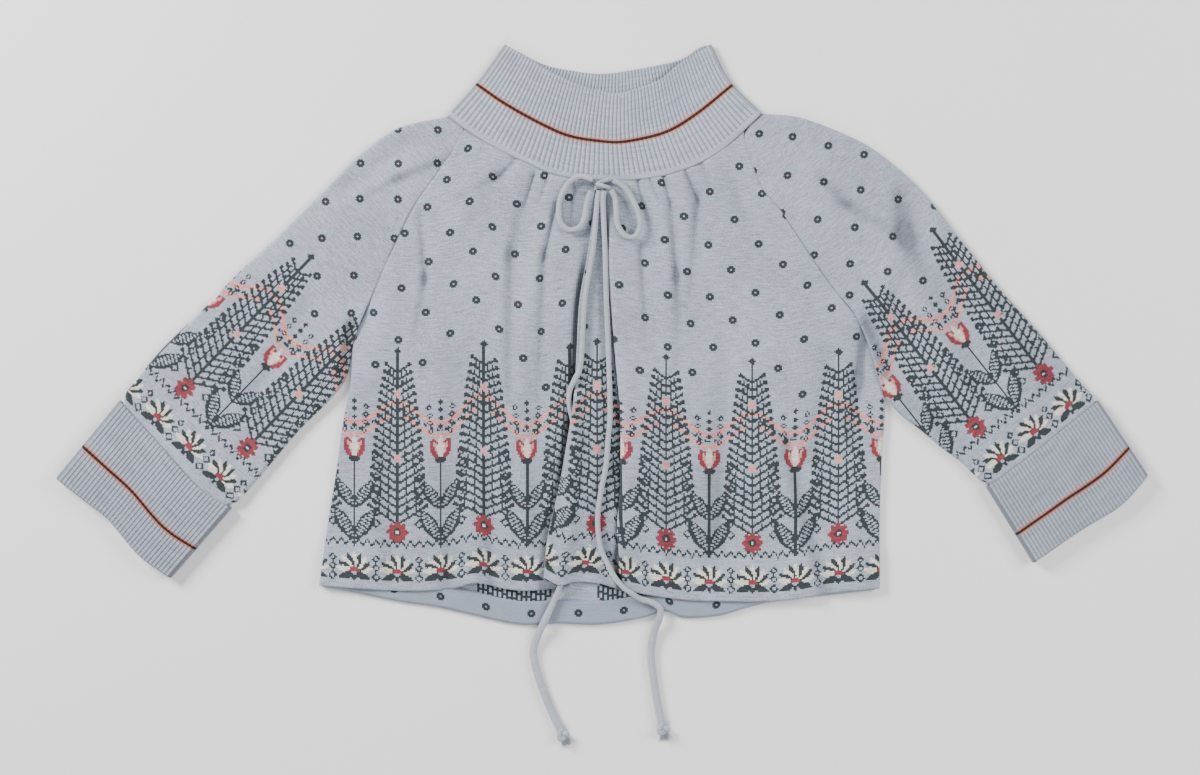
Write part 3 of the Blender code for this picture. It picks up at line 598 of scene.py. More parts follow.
HEM_FRONT_LEFT = [(20, -256), (58, -262), (98, -266), (178, -266), (228, -258), (277, -254)]
HEM_BACK = [(-282, -252), (-242, -259), (-202, -267), (-162, -273), (-122, -282), (-82, -290), (-42, -289),
            (-2, -290), (38, -284), (63, -277), (81, -283), (118, -281), (168, -268), (277, -255)]
SLEEVE_TOP_RIGHT = [(-155, 217), (-202, 206), (-242, 179), (-282, 139), (-322, 99), (-362, 62), (-402, 21),
                    (-442, -18), (-481, -66), (-489, -75)]
SLEEVE_LOW_RIGHT = [(-248, -10), (-259, -51), (-302, -96), (-340, -141), (-369, -174), (-377, -183)]
SLEEVE_TOP_LEFT = [(160, 220), (198, 216), (248, 197), (278, 179), (318, 144), (358, 94), (398, 44), (438, -1),
                   (478, -49), (495, -66), (501, -76)]
SLEEVE_LOW_LEFT = [(281, -62), (298, -81), (318, -96), (338, -113), (358, -128), (383, -153), (389, -162)]
CUFF_TOP_RIGHT = [(-481, -66), (-442, -109), (-402, -153), (-369, -174)]
CUFF_END_RIGHT = [(-545, -144), (-517, -166), (-492, -186), (-462, -221), (-430, -244)]
CUFF_TOP_LEFT = [(495, -66), (458, -96), (418, -128), (383, -153)]
CUFF_END_LEFT = [(545, -141), (518, -171), (478, -196), (430, -229)]
EDGE_RIGHT = RAGLAN_RIGHT + SIDE_RIGHT[1:]
EDGE_LEFT = RAGLAN_LEFT + SIDE_LEFT[1:]

# Each row is x0, y0, x1, y1, half width, height at the first end, height at the last
FOLDS_FRONT_RIGHT = [
    (-78, 168, -95, 60, 11, 1.6, 1.0), (-52, 156, -84, -60, 10, 2.8, 1.4), (-36, 152, -52, 20, 9, 2.6, 1.2),
    (-112, 182, -178, 40, 13, 1.2, 1.6), (-135, -120, -131, -252, 12, 0.6, 3.4),
    (-116, -130, -110, -252, 7, -0.8, -1.9), (-152, -150, -156, -252, 7, -0.6, -1.7),
    (-72, -60, -66, -200, 9, -0.5, -1.2), (-222, -60, -214, -240, 9, -0.4, -1.3),
    (-205, 60, -232, -40, 13, 1.8, 2.2), (-88, 172, -103, 157, 3.4, -1.5, -1.3),
    (-103, 157, -142, 134, 4.5, -1.1, -0.3), (-69, 156, -77, 130, 2.6, -2.2, -1.2),
    (-82, 124, -92, 78, 5.5, -1.1, -1.6), (-92, 78, -94, -62, 5.5, -1.9, -0.9),
    (-46, 126, -58, 78, 3.0, -2.0, -1.8), (-58, 78, -64, -62, 4.5, -1.7, -0.8),
    (-182, 118, -177, 54, 4.2, -1.2, -2.1), (-177, 54, -187, 0, 4.2, -2.0, -0.6),
    (-229, 96, -240, 24, 5.0, -0.9, -1.3), (-28, 150, -31, 118, 2.8, -1.6, -0.7),
    (-54, 158, -60, 138, 2.4, -1.8, -0.8), (-120, 188, -127, 160, 4.0, -0.6, -0.2),
    (-152, -30, -158, -160, 15, -0.5, -0.9), (-232, -120, -240, -240, 13, 0.6, 1.3),
    (-190, -90, -196, -210, 12, 0.3, 0.9), (-100, -110, -104, -240, 11, 0.4, 1.3),
]
FOLDS_FRONT_LEFT = [
    (52, 152, 84, -40, 10, 2.8, 1.2), (78, 158, 92, 60, 10, 2.2, 1.2), (112, 176, 132, 70, 12, 1.2, 1.2),
    (164, -110, 204, -252, 12, 1.0, 2.2), (180, -104, 222, -256, 7, -1.2, -1.9),
    (238, 20, 232, -130, 14, 3.0, 1.4), (262, 8, 256, -46, 5.5, -3.0, -2.8),
    (256, -46, 248, -110, 6.5, -2.4, -0.7), (222, -20, 210, -120, 8, -0.8, -1.2),
    (120, -20, 114, -200, 9, -0.5, -1.3), (60, -60, 66, -220, 8, -0.5, -1.1), (36, 150, 43, 118, 2.6, -1.8, -0.8),
    (61, 156, 68, 130, 2.6, -2.2, -1.0), (48, 154, 54, 138, 2.4, -1.6, -0.6), (68, 128, 74, 58, 4.2, -1.4, -2.3),
    (74, 58, 76, -30, 5.0, -2.2, -0.7), (83, 162, 95, 134, 2.8, -2.2, -1.6), (95, 134, 88, 44, 4.6, -1.7, -0.9),
    (38, 84, 43, 24, 3.6, -1.8, -0.9), (100, 168, 109, 146, 3.4, -0.9, -0.3),
    (188, -106, 178, -126, 4.0, -1.0, -0.4), (128, 150, 150, 96, 6.0, -0.7, -0.3),
    (110, -60, 106, -220, 16, -0.4, -1.0), (142, -90, 140, -240, 13, 0.3, 1.1),
    (246, -150, 250, -240, 13, 0.4, 1.2), (60, -130, 62, -240, 12, 0.3, 0.8),
]
FOLDS_SLEEVE_RIGHT = [
    (-168, 178, -270, 112, 13, 1.4, 1.0), (-240, 10, -330, -70, 18, 1.6, 1.2),
    (-330, 70, -420, -80, 22, 1.0, 1.4), (-162, 169, -202, 154, 5.0, -1.1, -1.3),
    (-202, 154, -262, 119, 5.5, -1.2, -0.3), (-190, 196, -256, 150, 8.0, -0.6, -0.9),
    (-251, 6, -259, -44, 6.0, -3.0, -2.6), (-300, 30, -352, -64, 9.0, -0.7, -0.9),
    (-370, 8, -436, -76, 10.0, -0.5, -0.9), (-346, -92, -392, -150, 7, -0.9, -0.5),
]
FOLDS_SLEEVE_LEFT = [
    (214, 158, 302, 82, 13, 2.0, 1.4), (284, 60, 268, -40, 13, 2.6, 2.2), (330, 96, 316, 20, 16, 2.0, 1.0),
    (352, -40, 440, -90, 20, 1.0, 1.4), (218, 154, 243, 129, 5.0, -1.2, -1.4),
    (243, 129, 293, 99, 5.5, -1.4, -0.8), (298, 134, 304, 98, 10.0, -2.2, -2.6),
    (304, 98, 318, 58, 10.0, -2.6, -1.2), (265, 8, 284, -40, 6.5, -3.2, -2.0), (276, 40, 288, 0, 9.0, 1.8, 1.2),
    (336, 40, 372, -50, 12.0, -0.8, -1.0), (380, 50, 440, -40, 12.0, -0.6, -0.8),
    (300, -60, 362, -116, 8.0, -0.9, -0.6),
]
print("folds placed:", len(FOLDS_FRONT_RIGHT + FOLDS_FRONT_LEFT + FOLDS_SLEEVE_RIGHT + FOLDS_SLEEVE_LEFT))

# %% [markdown]
# ## Heights and shades
# A trough is made deeper than its row says, and a ridge clear of the cord higher, until the folds read in soft
# light. Real light hardly reaches into a narrow crease. In the render it reaches further, so the yarn down there
# is also drawn a little darker.

# %% Heights
TROUGH_GAIN = 1.5
RIDGE_GAIN = 0.8          # extra height of the ridges that lie clear of the cord
DEEPEST = -4.4
# Painted shade: each millimetre of crease depth draws the yarn darker by this share.
CREASE_SHADE = 0.12       # how much darker the yarn looks for each millimetre of depth
FACING_WALL = 1.8
FACING_TOP = 53.0         # above this the fronts lie clear of the turned hem


def fold_height(x, y, folds):
    """Height that soft ridges and troughs add at each place."""
    total = np.zeros(np.shape(x))
    for x0, y0, x1, y1, width, h0, h1 in folds:
        length = math.hypot(x1 - x0, y1 - y0)
        ax, ay = (x1 - x0) / length, (y1 - y0) / length
        run = (x - x0) * ax + (y - y0) * ay
        off = (x - x0) * ay - (y - y0) * ax
        beyond = np.maximum(np.maximum(-run, run - length), 0.0)
        height = h0 + (h1 - h0) * np.clip(run / length, 0.0, 1.0)
        height = height * np.where(height < 0, TROUGH_GAIN, 1.0 + RIDGE_GAIN * ease((np.abs(x) - 60.0) / 25.0))
        total = total + height * np.exp(-(off / width) ** 2 - (beyond / (width + 4.0)) ** 2)
    return np.maximum(total, DEEPEST)


def crease_shade(x, y, folds):
    """Painted shade: how much darker the yarn is drawn down in the creases."""
    deep = -fold_height(x, y, [row for row in folds if row[5] < 0])
    return 1.0 - CREASE_SHADE * np.clip(deep, 0.0, -DEEPEST)


def gap_to(x, y, points):
    """Distance from each place to a smooth run."""
    run = smooth_run(points, 8)
    best = np.full(np.shape(x), 1e9)
    for (x0, y0), (x1, y1) in zip(run[:-1], run[1:]):
        dx, dy = x1 - x0, y1 - y0
        along = np.clip(((x - x0) * dx + (y - y0) * dy) / max(dx * dx + dy * dy, 1e-9), 0.0, 1.0)
        best = np.minimum(best, np.hypot(x - x0 - along * dx, y - y0 - along * dy))
    return best


hem_back = reader(HEM_BACK, 0)


def back_ground(x, y):
    """Height on which a front lies: the back's upper face, and the turned hem near the bottom."""
    to_facing = hem_back(x) + FACING_TOP - y
    return WALL + LAYER_GAP + (FACING_WALL + LAYER_GAP) * ease(to_facing / 20.0)


print("ground at the hem:", round(float(back_ground(0.0, -250.0)), 2), "mm")

# %% [markdown]
# ## One panel, stitch by stitch
# A panel could be a plain grid between its four edges, but then its stitches would lean with the raglan. A real
# panel is a straight grid of stitches that is cut along its outline. So the panel is made as it is knitted: a grid
# in cloth coordinates, cut by the outline, with the cut edge's points moved onto it. A function then lays each
# point of the cloth in its place. The edge gets a rounded rim as thick as the knit.


# %% Cutting a panel out of a grid of stitches
def inside(points, outline):
    """Which points lie inside a closed outline."""
    x, y = points[:, 0], points[:, 1]
    result = np.zeros(len(points), dtype=bool)
    x0, y0 = outline[-1]
    for x1, y1 in outline:
        if y1 != y0:
            crosses = ((y0 > y) != (y1 > y)) & (x < (x1 - x0) * (y - y0) / (y1 - y0) + x0)
            result ^= crosses
        x0, y0 = x1, y1
    return result


def dense(outline, step=0.4):
    """Points along a closed outline, no further apart than a step."""
    ends = np.roll(outline, -1, axis=0)
    parts = []
    for a, b in zip(outline, ends):
        count = max(1, int(np.ceil(np.linalg.norm(b - a) / step)))
        parts.append(a + (b - a) * np.linspace(0, 1, count, endpoint=False)[:, None])
    return np.vstack(parts)


def cut(outline, wale=WALE, course=COURSE):
    """Grid points, faces and boundary edges of the stitches inside an outline, with the edge drawn onto it."""
    outline = np.asarray(outline, dtype=float)
    low = np.floor(outline.min(axis=0) / (wale, course)).astype(int)
    high = np.ceil(outline.max(axis=0) / (wale, course)).astype(int)
    columns, rows = high - low
    j, i = np.meshgrid(np.arange(columns), np.arange(rows))
    middles = np.column_stack([(low[0] + j.ravel() + 0.5) * wale, (low[1] + i.ravel() + 0.5) * course])
    kept = inside(middles, outline).reshape(rows, columns)
    at = np.arange((rows + 1) * (columns + 1)).reshape(rows + 1, columns + 1)
    i, j = np.nonzero(kept)
    faces = np.column_stack([at[i, j], at[i, j + 1], at[i + 1, j + 1], at[i + 1, j]])
    wide = np.pad(kept, 1)
    around = [(0, 0), (0, 1), (1, 1), (1, 0)]       # corners of a stitch, in turn
    edges = []
    for k, (down, right) in enumerate([(-1, 0), (0, 1), (1, 0), (0, -1)]):
        r, c = np.nonzero(kept & ~wide[1 + down:1 + down + rows, 1 + right:1 + right + columns])
        a, b = around[k], around[(k + 1) % 4]
        edges.append(np.column_stack([at[r + a[0], c + a[1]], at[r + b[0], c + b[1]]]))
    used, faces = np.unique(faces, return_inverse=True)
    order = np.full(at.size, -1)
    order[used] = np.arange(len(used))
    edges = order[np.vstack(edges)]
    stitch = np.column_stack([used % (columns + 1) + low[0], used // (columns + 1) + low[1]]).astype(float)
    cloth = stitch * (wale, course)
    rim = np.unique(edges)
    line = dense(outline)
    for part in np.array_split(rim, max(1, len(rim) // 200)):
        gaps = ((cloth[part][:, None] - line[None]) ** 2).sum(axis=2)
        cloth[part] = line[np.argmin(gaps, axis=1)]
    return cloth, stitch, faces.reshape(-1, 4), edges


print("stitches in a hand's breadth:", round(100 / WALE), "wide and", round(100 / COURSE), "high")

# %% Laying a panel down
RIM_ROLL = 0.35           # how far the rim rounds over, down and outwards
RIM_TUCK = 2.2            # how far its lower side runs back under the panel
FLOOR_CLEAR = 0.1


def surface_normals(place, cloth):
    """Unit normals of a laid cloth, from two near neighbours of each point."""
    u, v = cloth[:, 0], cloth[:, 1]
    return unit(np.cross(place(u + 0.5, v) - place(u - 0.5, v), place(u, v + 0.5) - place(u, v - 0.5)))


def lay_panel(name, node, outline, place, colour, thick=WALL, wale=WALE, course=COURSE, shade=None,
              slot="jacquard_knit"):
    """A fine outer face of stitches with a rounded rim, as thick as the knit."""
    cloth, stitch, faces, edges = cut(outline, wale, course)
    middle = place(cloth[:, 0], cloth[:, 1])
    normal = surface_normals(place, cloth)
    top = middle + normal * thick / 2
    rim = np.unique(edges)
    outward = np.zeros((len(cloth), 3))
    out = np.cross(middle[edges[:, 1]] - middle[edges[:, 0]], normal[edges[:, 0]])
    for k in (0, 1):
        np.add.at(outward, edges[:, k], out)
    outward = unit(outward[rim])
    top[rim] -= normal[rim] * RIM_ROLL
    bulge = middle[rim] + outward * RIM_ROLL
    under = middle[rim] - normal[rim] * (thick / 2 - 0.25) - outward * 0.2
    tuck = middle[rim] - normal[rim] * (thick / 2) - outward * RIM_TUCK
    tuck[:, 2] = np.maximum(tuck[:, 2], FLOOR_CLEAR)
    layers = np.full((4, len(cloth)), -1)
    layers[0] = np.arange(len(cloth))
    for k in (1, 2, 3):
        layers[k, rim] = len(cloth) + (k - 1) * len(rim) + np.arange(len(rim))
    a, b = edges[:, 0], edges[:, 1]
    skirts = [np.column_stack([layers[k][b], layers[k][a], layers[k + 1][a], layers[k + 1][b]]) for k in range(3)]
    mesh = mesh_of(name, np.vstack([top, bulge, under, tuck]), np.vstack([faces, *skirts]).tolist())
    u, v = cloth[faces].mean(axis=1).T
    codes = np.full(len(faces) + 3 * len(edges), GROUND)
    codes[:len(faces)] = colour(u, v)
    colours = YARN_TABLE[codes]
    # Painted shade of creases, gaps and folds, where a shade rule is given
    if shade is not None:
        colours[:len(faces)] *= shade(u, v)[:, None]
    paint(mesh, np.vstack([stitch] + [stitch[rim]] * 3), colours)
    area = np.abs(np.cross(cloth[faces[:, 2]] - cloth[faces[:, 0]], cloth[faces[:, 3]] - cloth[faces[:, 1]])).sum()
    print(name, "has", len(faces), "stitches on", round(float(area) / 2e6, 4), "square metres")
    return put(name, mesh, slot, node)


# %% [markdown]
# ## The wearer's right front
# This front lies lowest at the opening. It is gathered a little at the neck, falls in long soft folds and carries
# the border at its hem. Its courses follow the hem, and its side is cut along the raglan and the side seam. Under
# the lapped edge of the other front its yarn is drawn nearly black, a painted shadow in the narrow gap there.

# %% Right front
hem_right = reader(HEM_FRONT_RIGHT, 0)
opening = reader(OPENING)
OPENING_TOP = 150.0
OPENING_LENGTH = 393.0
# Painted shadow: how dark the yarn is drawn in the gap under the lapped edge
GAP_SHADE = 0.9           # how dark the yarn looks under the lapped edge
NECK_LIFT = 1.3
TROUGH_LIMIT = -2.0       # deeper troughs would cut into the layer below
SEAM_DIP = 0.5            # how far the cloth dips at a linked seam
SEAM_REACH = 2.0
SEAM_CLEAR = 0.05


def share_down(y):
    """How far down the opening a place is, from 0 at the neck to 1 at the hem."""
    return np.clip((OPENING_TOP - y) / OPENING_LENGTH, 0.0, 1.0)


def lap(y):
    """How far the right front reaches under the left one."""
    return 6.0 + 20.0 * ease(share_down(y) * 1.2)


def neck_lift(y):
    """How far the gathers lift the cloth beside the neck."""
    return NECK_LIFT * np.exp(-share_down(y) * 14.0)


def folds_on_front(u, y, folds):
    """Folds of a front, whose troughs stop at the layer below."""
    return np.maximum(fold_height(u, y, folds), TROUGH_LIMIT - neck_lift(y))


def seam_dip(from_seam):
    """How far a panel dips near a linked seam."""
    return SEAM_DIP * np.exp(-(from_seam / SEAM_REACH) ** 2)


def right_front_place(u, v):
    y = hem_right(u) + v
    height = back_ground(u, y) + WALL / 2 + neck_lift(y)
    height += folds_on_front(u, y, FOLDS_FRONT_RIGHT) * ease((opening(y) - u - 4.0) / 22.0)
    return np.stack([u, y, height - seam_dip(gap_to(u, y, EDGE_RIGHT))], axis=-1)


def right_front_shade(u, v):
    """Painted shade in the creases, and a painted shadow in the narrow gap under the lapped edge."""
    y = hem_right(u) + v
    gap_shadow = np.exp(-(np.maximum(opening(y) - u - 3.4, 0.0) / 3.0) ** 2)
    open_part = ease((110.0 - y) / 60.0) * (0.6 + 0.4 * ease((y + 200.0) / 110.0))
    return crease_shade(u, y, FOLDS_FRONT_RIGHT) * (1.0 - GAP_SHADE * gap_shadow * open_part)


edge_y = np.linspace(148, -252, 120)
outline = np.vstack([between(NECK_SEAM_FRONT, -138, -4) - (0, SEAM_CLEAR),
                     np.column_stack([opening(edge_y) + lap(edge_y), edge_y]),
                     between(HEM_FRONT_RIGHT, -281, -33)[::-1],
                     (smooth_run(EDGE_RIGHT) + (SEAM_CLEAR, 0))[::-1]])
outline[:, 1] -= hem_right(outline[:, 0])
cloth_right_front = lay_panel("cloth_right_front", "right_front", outline, right_front_place,
                              lambda u, v: jacquard(u, v, shift=-118.0, dots=(-153.0, 359.0)),
                              shade=right_front_shade)

# %% [markdown]
# ## The wearer's left front
# The left front laps over the right one. From its free edge a strip runs over the tucked cord to a deep fold, and
# from there the cloth comes down to the back and on to the side. Seen along a course, the fold is an S: an arc
# up, a short straight and an arc back. Each stitch is placed by its distance from the fold along that S.

# %% Left front
FOLD_RADIUS = 1.6
FOLD_FADE = 34.0
# Painted shade: how dark the yarn is drawn inside the deep fold and in the shadow beside it
FOLD_SHADE = 0.85         # how dark the yarn looks inside the deep fold
TUNNEL_TOP = -50.0        # the cord slips under the strip here
TUNNEL_LIFT = 6.9
TUNNEL_WIDTH = 8.5
STRIP_HEM_END = 18        # the strip has its own hem line up to here
HEM_CORNER = 276.8
fold_line = reader(DEEP_FOLD)
hem_left = reader(HEM_FRONT_LEFT, 0)
hem_strip = reader(HEM_FRONT_STRIP, 0)
tucked_y, tucked_x = np.array(sorted((row[1], row[0]) for row in TAIL_RIGHT if row[1] < -56), dtype=float).T


def hem_of(u):
    """The left front's hem, which steps at the deep fold."""
    return np.where(u < STRIP_HEM_END, hem_strip(u + 3.7), hem_left(u))


def fold_sizes(y):
    """Turn, straight, cloth length and width of the S at each height."""
    share = share_down(y)
    turn = math.pi * (ease((share + 0.02) / 0.28) - 0.8 * ease((share - 0.84) / 0.16))
    straight = 1.5 + 3.0 * ease(share * 3.0)
    length = 2 * FOLD_RADIUS * turn + straight
    advance = 2 * FOLD_RADIUS * np.sin(turn) + straight * np.cos(turn)
    return turn, straight, length, advance


def left_front_place(u, v):
    y = hem_of(u) + v
    turn, straight, length, advance = fold_sizes(y)
    fold, first = fold_line(y), opening(y)
    end = fold - advance / 2
    width = end - first
    tuck = np.clip(np.interp(y, tucked_y, tucked_x) - first, 1.0, width * 0.5)
    edge = np.minimum(lap(y) + 2.0, width * 0.74)

    def strip_height(x):
        place = x - first
        over = LAYER * (1.0 - ease((place - edge) / 12.0))
        lift = TUNNEL_LIFT * ease((TUNNEL_TOP - y) / 16.0)
        tunnel = lift * np.exp(-((place - tuck) / TUNNEL_WIDTH) ** 2)
        return back_ground(x, y) + WALL / 2 + over + tunnel + neck_lift(y)

    low = strip_height(end)
    rise = 2 * FOLD_RADIUS * (1 - np.cos(turn)) + straight * np.sin(turn)
    back = fold - u                       # cloth distance back from the top of the fold

    # The rest of the panel, right of the fold
    reach = np.maximum(-back, 0.0)
    x_main = u + advance / 2 * (1 - ease(reach / 30.0))
    level = back_ground(u, y) + WALL / 2 + neck_lift(y)
    z_main = level + (low + rise - level) * (1 - ease(reach / FOLD_FADE))
    z_main += folds_on_front(u, y, FOLDS_FRONT_LEFT) * ease(reach / 24.0)
    z_main -= np.where(u > 120, seam_dip(gap_to(u, y, EDGE_LEFT)), 0.0)

    # The upper arc, the straight and the lower arc, counted back from the top
    arc = FOLD_RADIUS * turn
    upper = np.clip(back, 0, arc) / FOLD_RADIUS
    span = straight / 2 - np.clip(back - arc, 0, straight)
    lower = turn - np.clip(back - arc - straight, 0, arc) / FOLD_RADIUS
    x_strip = end - np.maximum(back - length, 0.0)
    cases = [back <= 0, back <= arc, back <= arc + straight, back <= length]
    x = np.select(cases, [x_main, fold + advance / 2 - FOLD_RADIUS * np.sin(upper), fold + np.cos(turn) * span,
                          end + FOLD_RADIUS * np.sin(lower)], x_strip)
    z = np.select(cases, [z_main, low + rise - FOLD_RADIUS * (1 - np.cos(upper)),
                          low + rise / 2 + np.sin(turn) * span, low + FOLD_RADIUS * (1 - np.cos(lower))],
                  strip_height(x_strip))
    return np.stack([x, y, z], axis=-1)


def left_front_shade(u, v):
    """Painted shade in the creases, and painted shade inside the deep fold and in its shadow beside the overhang.
    """
    y = hem_of(u) + v
    turn, _, length, advance = fold_sizes(y)
    beyond = fold_line(y) - u - length
    overhang = np.maximum(-advance, 0.0) + FOLD_RADIUS * ease(turn / 1.6) + 0.6
    fold_shadow = np.where(beyond < overhang, 1.0 * (beyond > -0.6 * length),
                      np.exp(-((beyond - overhang) / 2.6) ** 2))
    return crease_shade(u, y, FOLDS_FRONT_LEFT) * (1.0 - FOLD_SHADE * fold_shadow * ease((130.0 - y) / 60.0))


def free_edge(y):
    """Cloth place of the opening's free edge."""
    *_, length, advance = fold_sizes(y)
    fold = fold_line(y)
    return fold - (length + fold - advance / 2 - opening(y))


neck_run = between(NECK_SEAM_FRONT, -8, 142) - (0, SEAM_CLEAR)
neck_run[:, 0] = np.where(neck_run[:, 0] < 5, neck_run[:, 0] - 4.0, neck_run[:, 0])
side_run = smooth_run(EDGE_LEFT) - (SEAM_CLEAR, 0)
edge_y = np.linspace(-243, 149, 160)
upper_edges = [neck_run, side_run[:-1], np.column_stack([free_edge(edge_y), edge_y])[1:]]
for run in upper_edges:
    run[:, 1] -= hem_of(run[:, 0])
hem_edge = np.array([(HEM_CORNER, 0.0), (free_edge(edge_y[0]), 0.0)])
outline = np.vstack([*upper_edges[:2], hem_edge, upper_edges[2]])
cloth_left_front = lay_panel("cloth_left_front", "left_front", outline, left_front_place,
                             lambda u, v: jacquard(u, v, shift=64.0, dots=(86.0, 385.0)),
                             shade=left_front_shade)

# %% [markdown]
# ## Sleeves
# A raglan sleeve is a tube, and laid flat it is two layers that turn over at both side edges. Two panels with a
# thickness would show a raw edge there. Instead both layers share one grid of stitches, cut along the sleeve's
# outline, and their points meet at mid height on the side edges, so that the cloth rolls over them.

# %% One sleeve
SLEEVE_HEIGHT = 7.4
SLEEVE_AT_RAGLAN = 6.0
SLEEVE_IN_CUFF = (2.6, 8.5)
SLEEVE_DRAW_IN = 0.055    # how much narrower the sleeve is inside its cuff
EDGE_ROLL = 3.4
EDGE_SHARED = 0.9         # closer than this to a side edge, both layers share their points


def lay_sleeve(name, node, raglan, top_side, low_side, first, second, folds, clear, shift, dots):
    """Both layers of a sleeve, in cloth coordinates that start at the middle of the cuff's seam."""
    first, second = np.array(first, dtype=float), np.array(second, dtype=float)
    middle = (first + second) / 2
    across = (second - first) / np.linalg.norm(second - first)
    along = np.array([-across[1], across[0]])
    seam = smooth_run(raglan)[::-1] + (clear, 0)
    outline = np.vstack([smooth_run(top_side), smooth_run(low_side)[::-1], seam])
    outline = np.column_stack([(outline - middle) @ across, (outline - middle) @ along])
    cloth, stitch, faces, edges = cut(outline)
    u, v = cloth[:, 0], cloth[:, 1]

    def laid(u):
        return middle[0] + u * across[0] + v * along[0], middle[1] + u * across[1] + v * along[1]

    x, y = laid(u)
    from_side = np.minimum(gap_to(x, y, top_side), gap_to(x, y, low_side))
    from_seam = gap_to(x, y, raglan)
    into = ease((30.0 - v) / 22.0)
    plain = SLEEVE_HEIGHT + (SLEEVE_AT_RAGLAN - SLEEVE_HEIGHT) * (1 - ease(from_seam / 42.0))
    plain += fold_height(x, y, folds) * 1.15 * (1 - into) * ease(from_side / 9.0)
    high = plain * (1 - into) + SLEEVE_IN_CUFF[1] * into
    low = SLEEVE_IN_CUFF[0] * into
    roll = np.sqrt(1 - (1 - np.clip(from_side / EDGE_ROLL, 0, 1)) ** 2)
    centre = (high + low) / 2
    z_top = centre + (high - centre) * roll - seam_dip(from_seam)
    z_low = centre - (centre - low) * roll
    x, y = laid(u * (1 - SLEEVE_DRAW_IN * ease((11.0 - v) / 11.0)))
    rim = np.unique(edges)
    shared = rim[from_side[rim] < EDGE_SHARED]
    loose = rim[from_side[rim] >= EDGE_SHARED]
    z_top[shared] = centre[shared]
    below = np.arange(len(cloth)) + len(cloth)
    below[shared] = shared
    tuck = np.full(len(cloth), -1)
    tuck[loose] = 2 * len(cloth) + np.arange(len(loose))
    z_tuck = np.maximum(z_top[loose] - WALL, FLOOR_CLEAR)
    points = np.vstack([np.column_stack([x, y, z_top]), np.column_stack([x, y, z_low]),
                        np.column_stack([x[loose], y[loose], z_tuck])])
    skirts = edges[(tuck[edges[:, 0]] >= 0) & (tuck[edges[:, 1]] >= 0)]
    rims = np.column_stack([skirts[:, 1], skirts[:, 0], tuck[skirts[:, 0]], tuck[skirts[:, 1]]])
    centres = cloth[faces].mean(axis=1)
    codes = jacquard(centres[:, 0], centres[:, 1], shift=shift, dots=dots, hem=-4.0)
    colours = YARN_TABLE[np.concatenate([codes, codes, np.full(len(skirts), GROUND)])]
    # Painted shade: the yarn is drawn darker down in the sleeve's creases
    colours[:len(faces)] *= crease_shade(x[faces].mean(axis=1), y[faces].mean(axis=1), folds)[:, None]
    mesh = mesh_of(name, points, np.vstack([faces, below[faces][:, ::-1], rims]).tolist())
    paint(mesh, np.vstack([stitch, stitch, stitch[loose]]), colours)
    mesh.validate()       # drops a face that both layers share
    mesh.update()
    print(name, "has", 2 * len(faces), "stitches")
    return put(name, mesh, "jacquard_knit", node)


cloth_right_sleeve = lay_sleeve("cloth_right_sleeve", "right_sleeve", NECK_RIGHT + RAGLAN_RIGHT[1:],
                                SLEEVE_TOP_RIGHT, SLEEVE_LOW_RIGHT, CUFF_TOP_RIGHT[0], CUFF_TOP_RIGHT[-1],
                                FOLDS_SLEEVE_RIGHT, -SEAM_CLEAR, -39.0, (6.0, 258.0))
cloth_left_sleeve = lay_sleeve("cloth_left_sleeve", "left_sleeve", NECK_LEFT + RAGLAN_LEFT[1:],
                               SLEEVE_TOP_LEFT, SLEEVE_LOW_LEFT, CUFF_TOP_LEFT[-1], CUFF_TOP_LEFT[0],
                               FOLDS_SLEEVE_LEFT, SEAM_CLEAR, 44.0, (10.0, 262.0))

# %% [markdown]
# ## Back and turned hem
# The back lies flat on the surface, so its outer face looks down. It carries the same border, and its inner face,
# which shows below the fronts' hems, has the loose floats of the second yarn. A narrow turned hem lies on it.

# %% Back panel
BACK_WALE = 1.9
BACK_COURSE = 1.8
INSIDE_STITCH = 2.4


def flat_place(height, lift=0.0, flip=1):
    """Lays a panel flat above the back's hem. With flip -1 it is seen from below, so across runs the other way."""
    def place(u, v):
        x = flip * u
        return np.stack([x, hem_back(x) + lift + v, np.full(np.shape(u), height)], axis=-1)

    return place


def floats(u, v):
    """The inside of the border: rounded groups of dark bars and rungs, plain cloth between and above."""
    group = on_disc(local(u, 121.0, 33.0), np.mod(v - 6.0, 54.0) - 27.0, 0, 0, 38.0, 24.0)
    column, row = np.floor(u / INSIDE_STITCH), np.floor(v / INSIDE_STITCH)
    bars = np.mod(column, 2) < 1
    rungs = np.mod(row + np.floor(column / 3), 3) < 1
    return np.where(group & (bars | rungs) & (v > 14) & (v < BORDER_TOP), DARK, GROUND)


outline = np.vstack([between(NECK_SEAM_BACK, -137, 141) - (0, 0.4), smooth_run(EDGE_LEFT) - (0.6, 0),
                     between(HEM_BACK, -281, 276)[::-1], (smooth_run(EDGE_RIGHT) + (0.6, 0))[::-1]])
outline[:, 1] -= hem_back(outline[:, 0])
cloth_back = lay_panel("cloth_back", "back_panel", outline * (-1, 1), flat_place(WALL / 2, flip=-1),
                       lambda u, v: jacquard(u, v, shift=10.0, dots=(0.0, 300.0), hem=6.0),
                       wale=BACK_WALE, course=BACK_COURSE)
back_inside = lay_panel("back_inside", "back_panel", outline, flat_place(WALL - 0.42), floats, thick=0.8,
                        wale=INSIDE_STITCH, course=INSIDE_STITCH)


# %% Turned hem
def hem_dots(u, v):
    """One row of ring dots along the turned hem."""
    x = u - on_stitch(u - local(u, 46.0, 22.0), WALE)
    return np.where(on_ring_dot(x, v - on_stitch(9.5, COURSE)), DARK, GROUND)


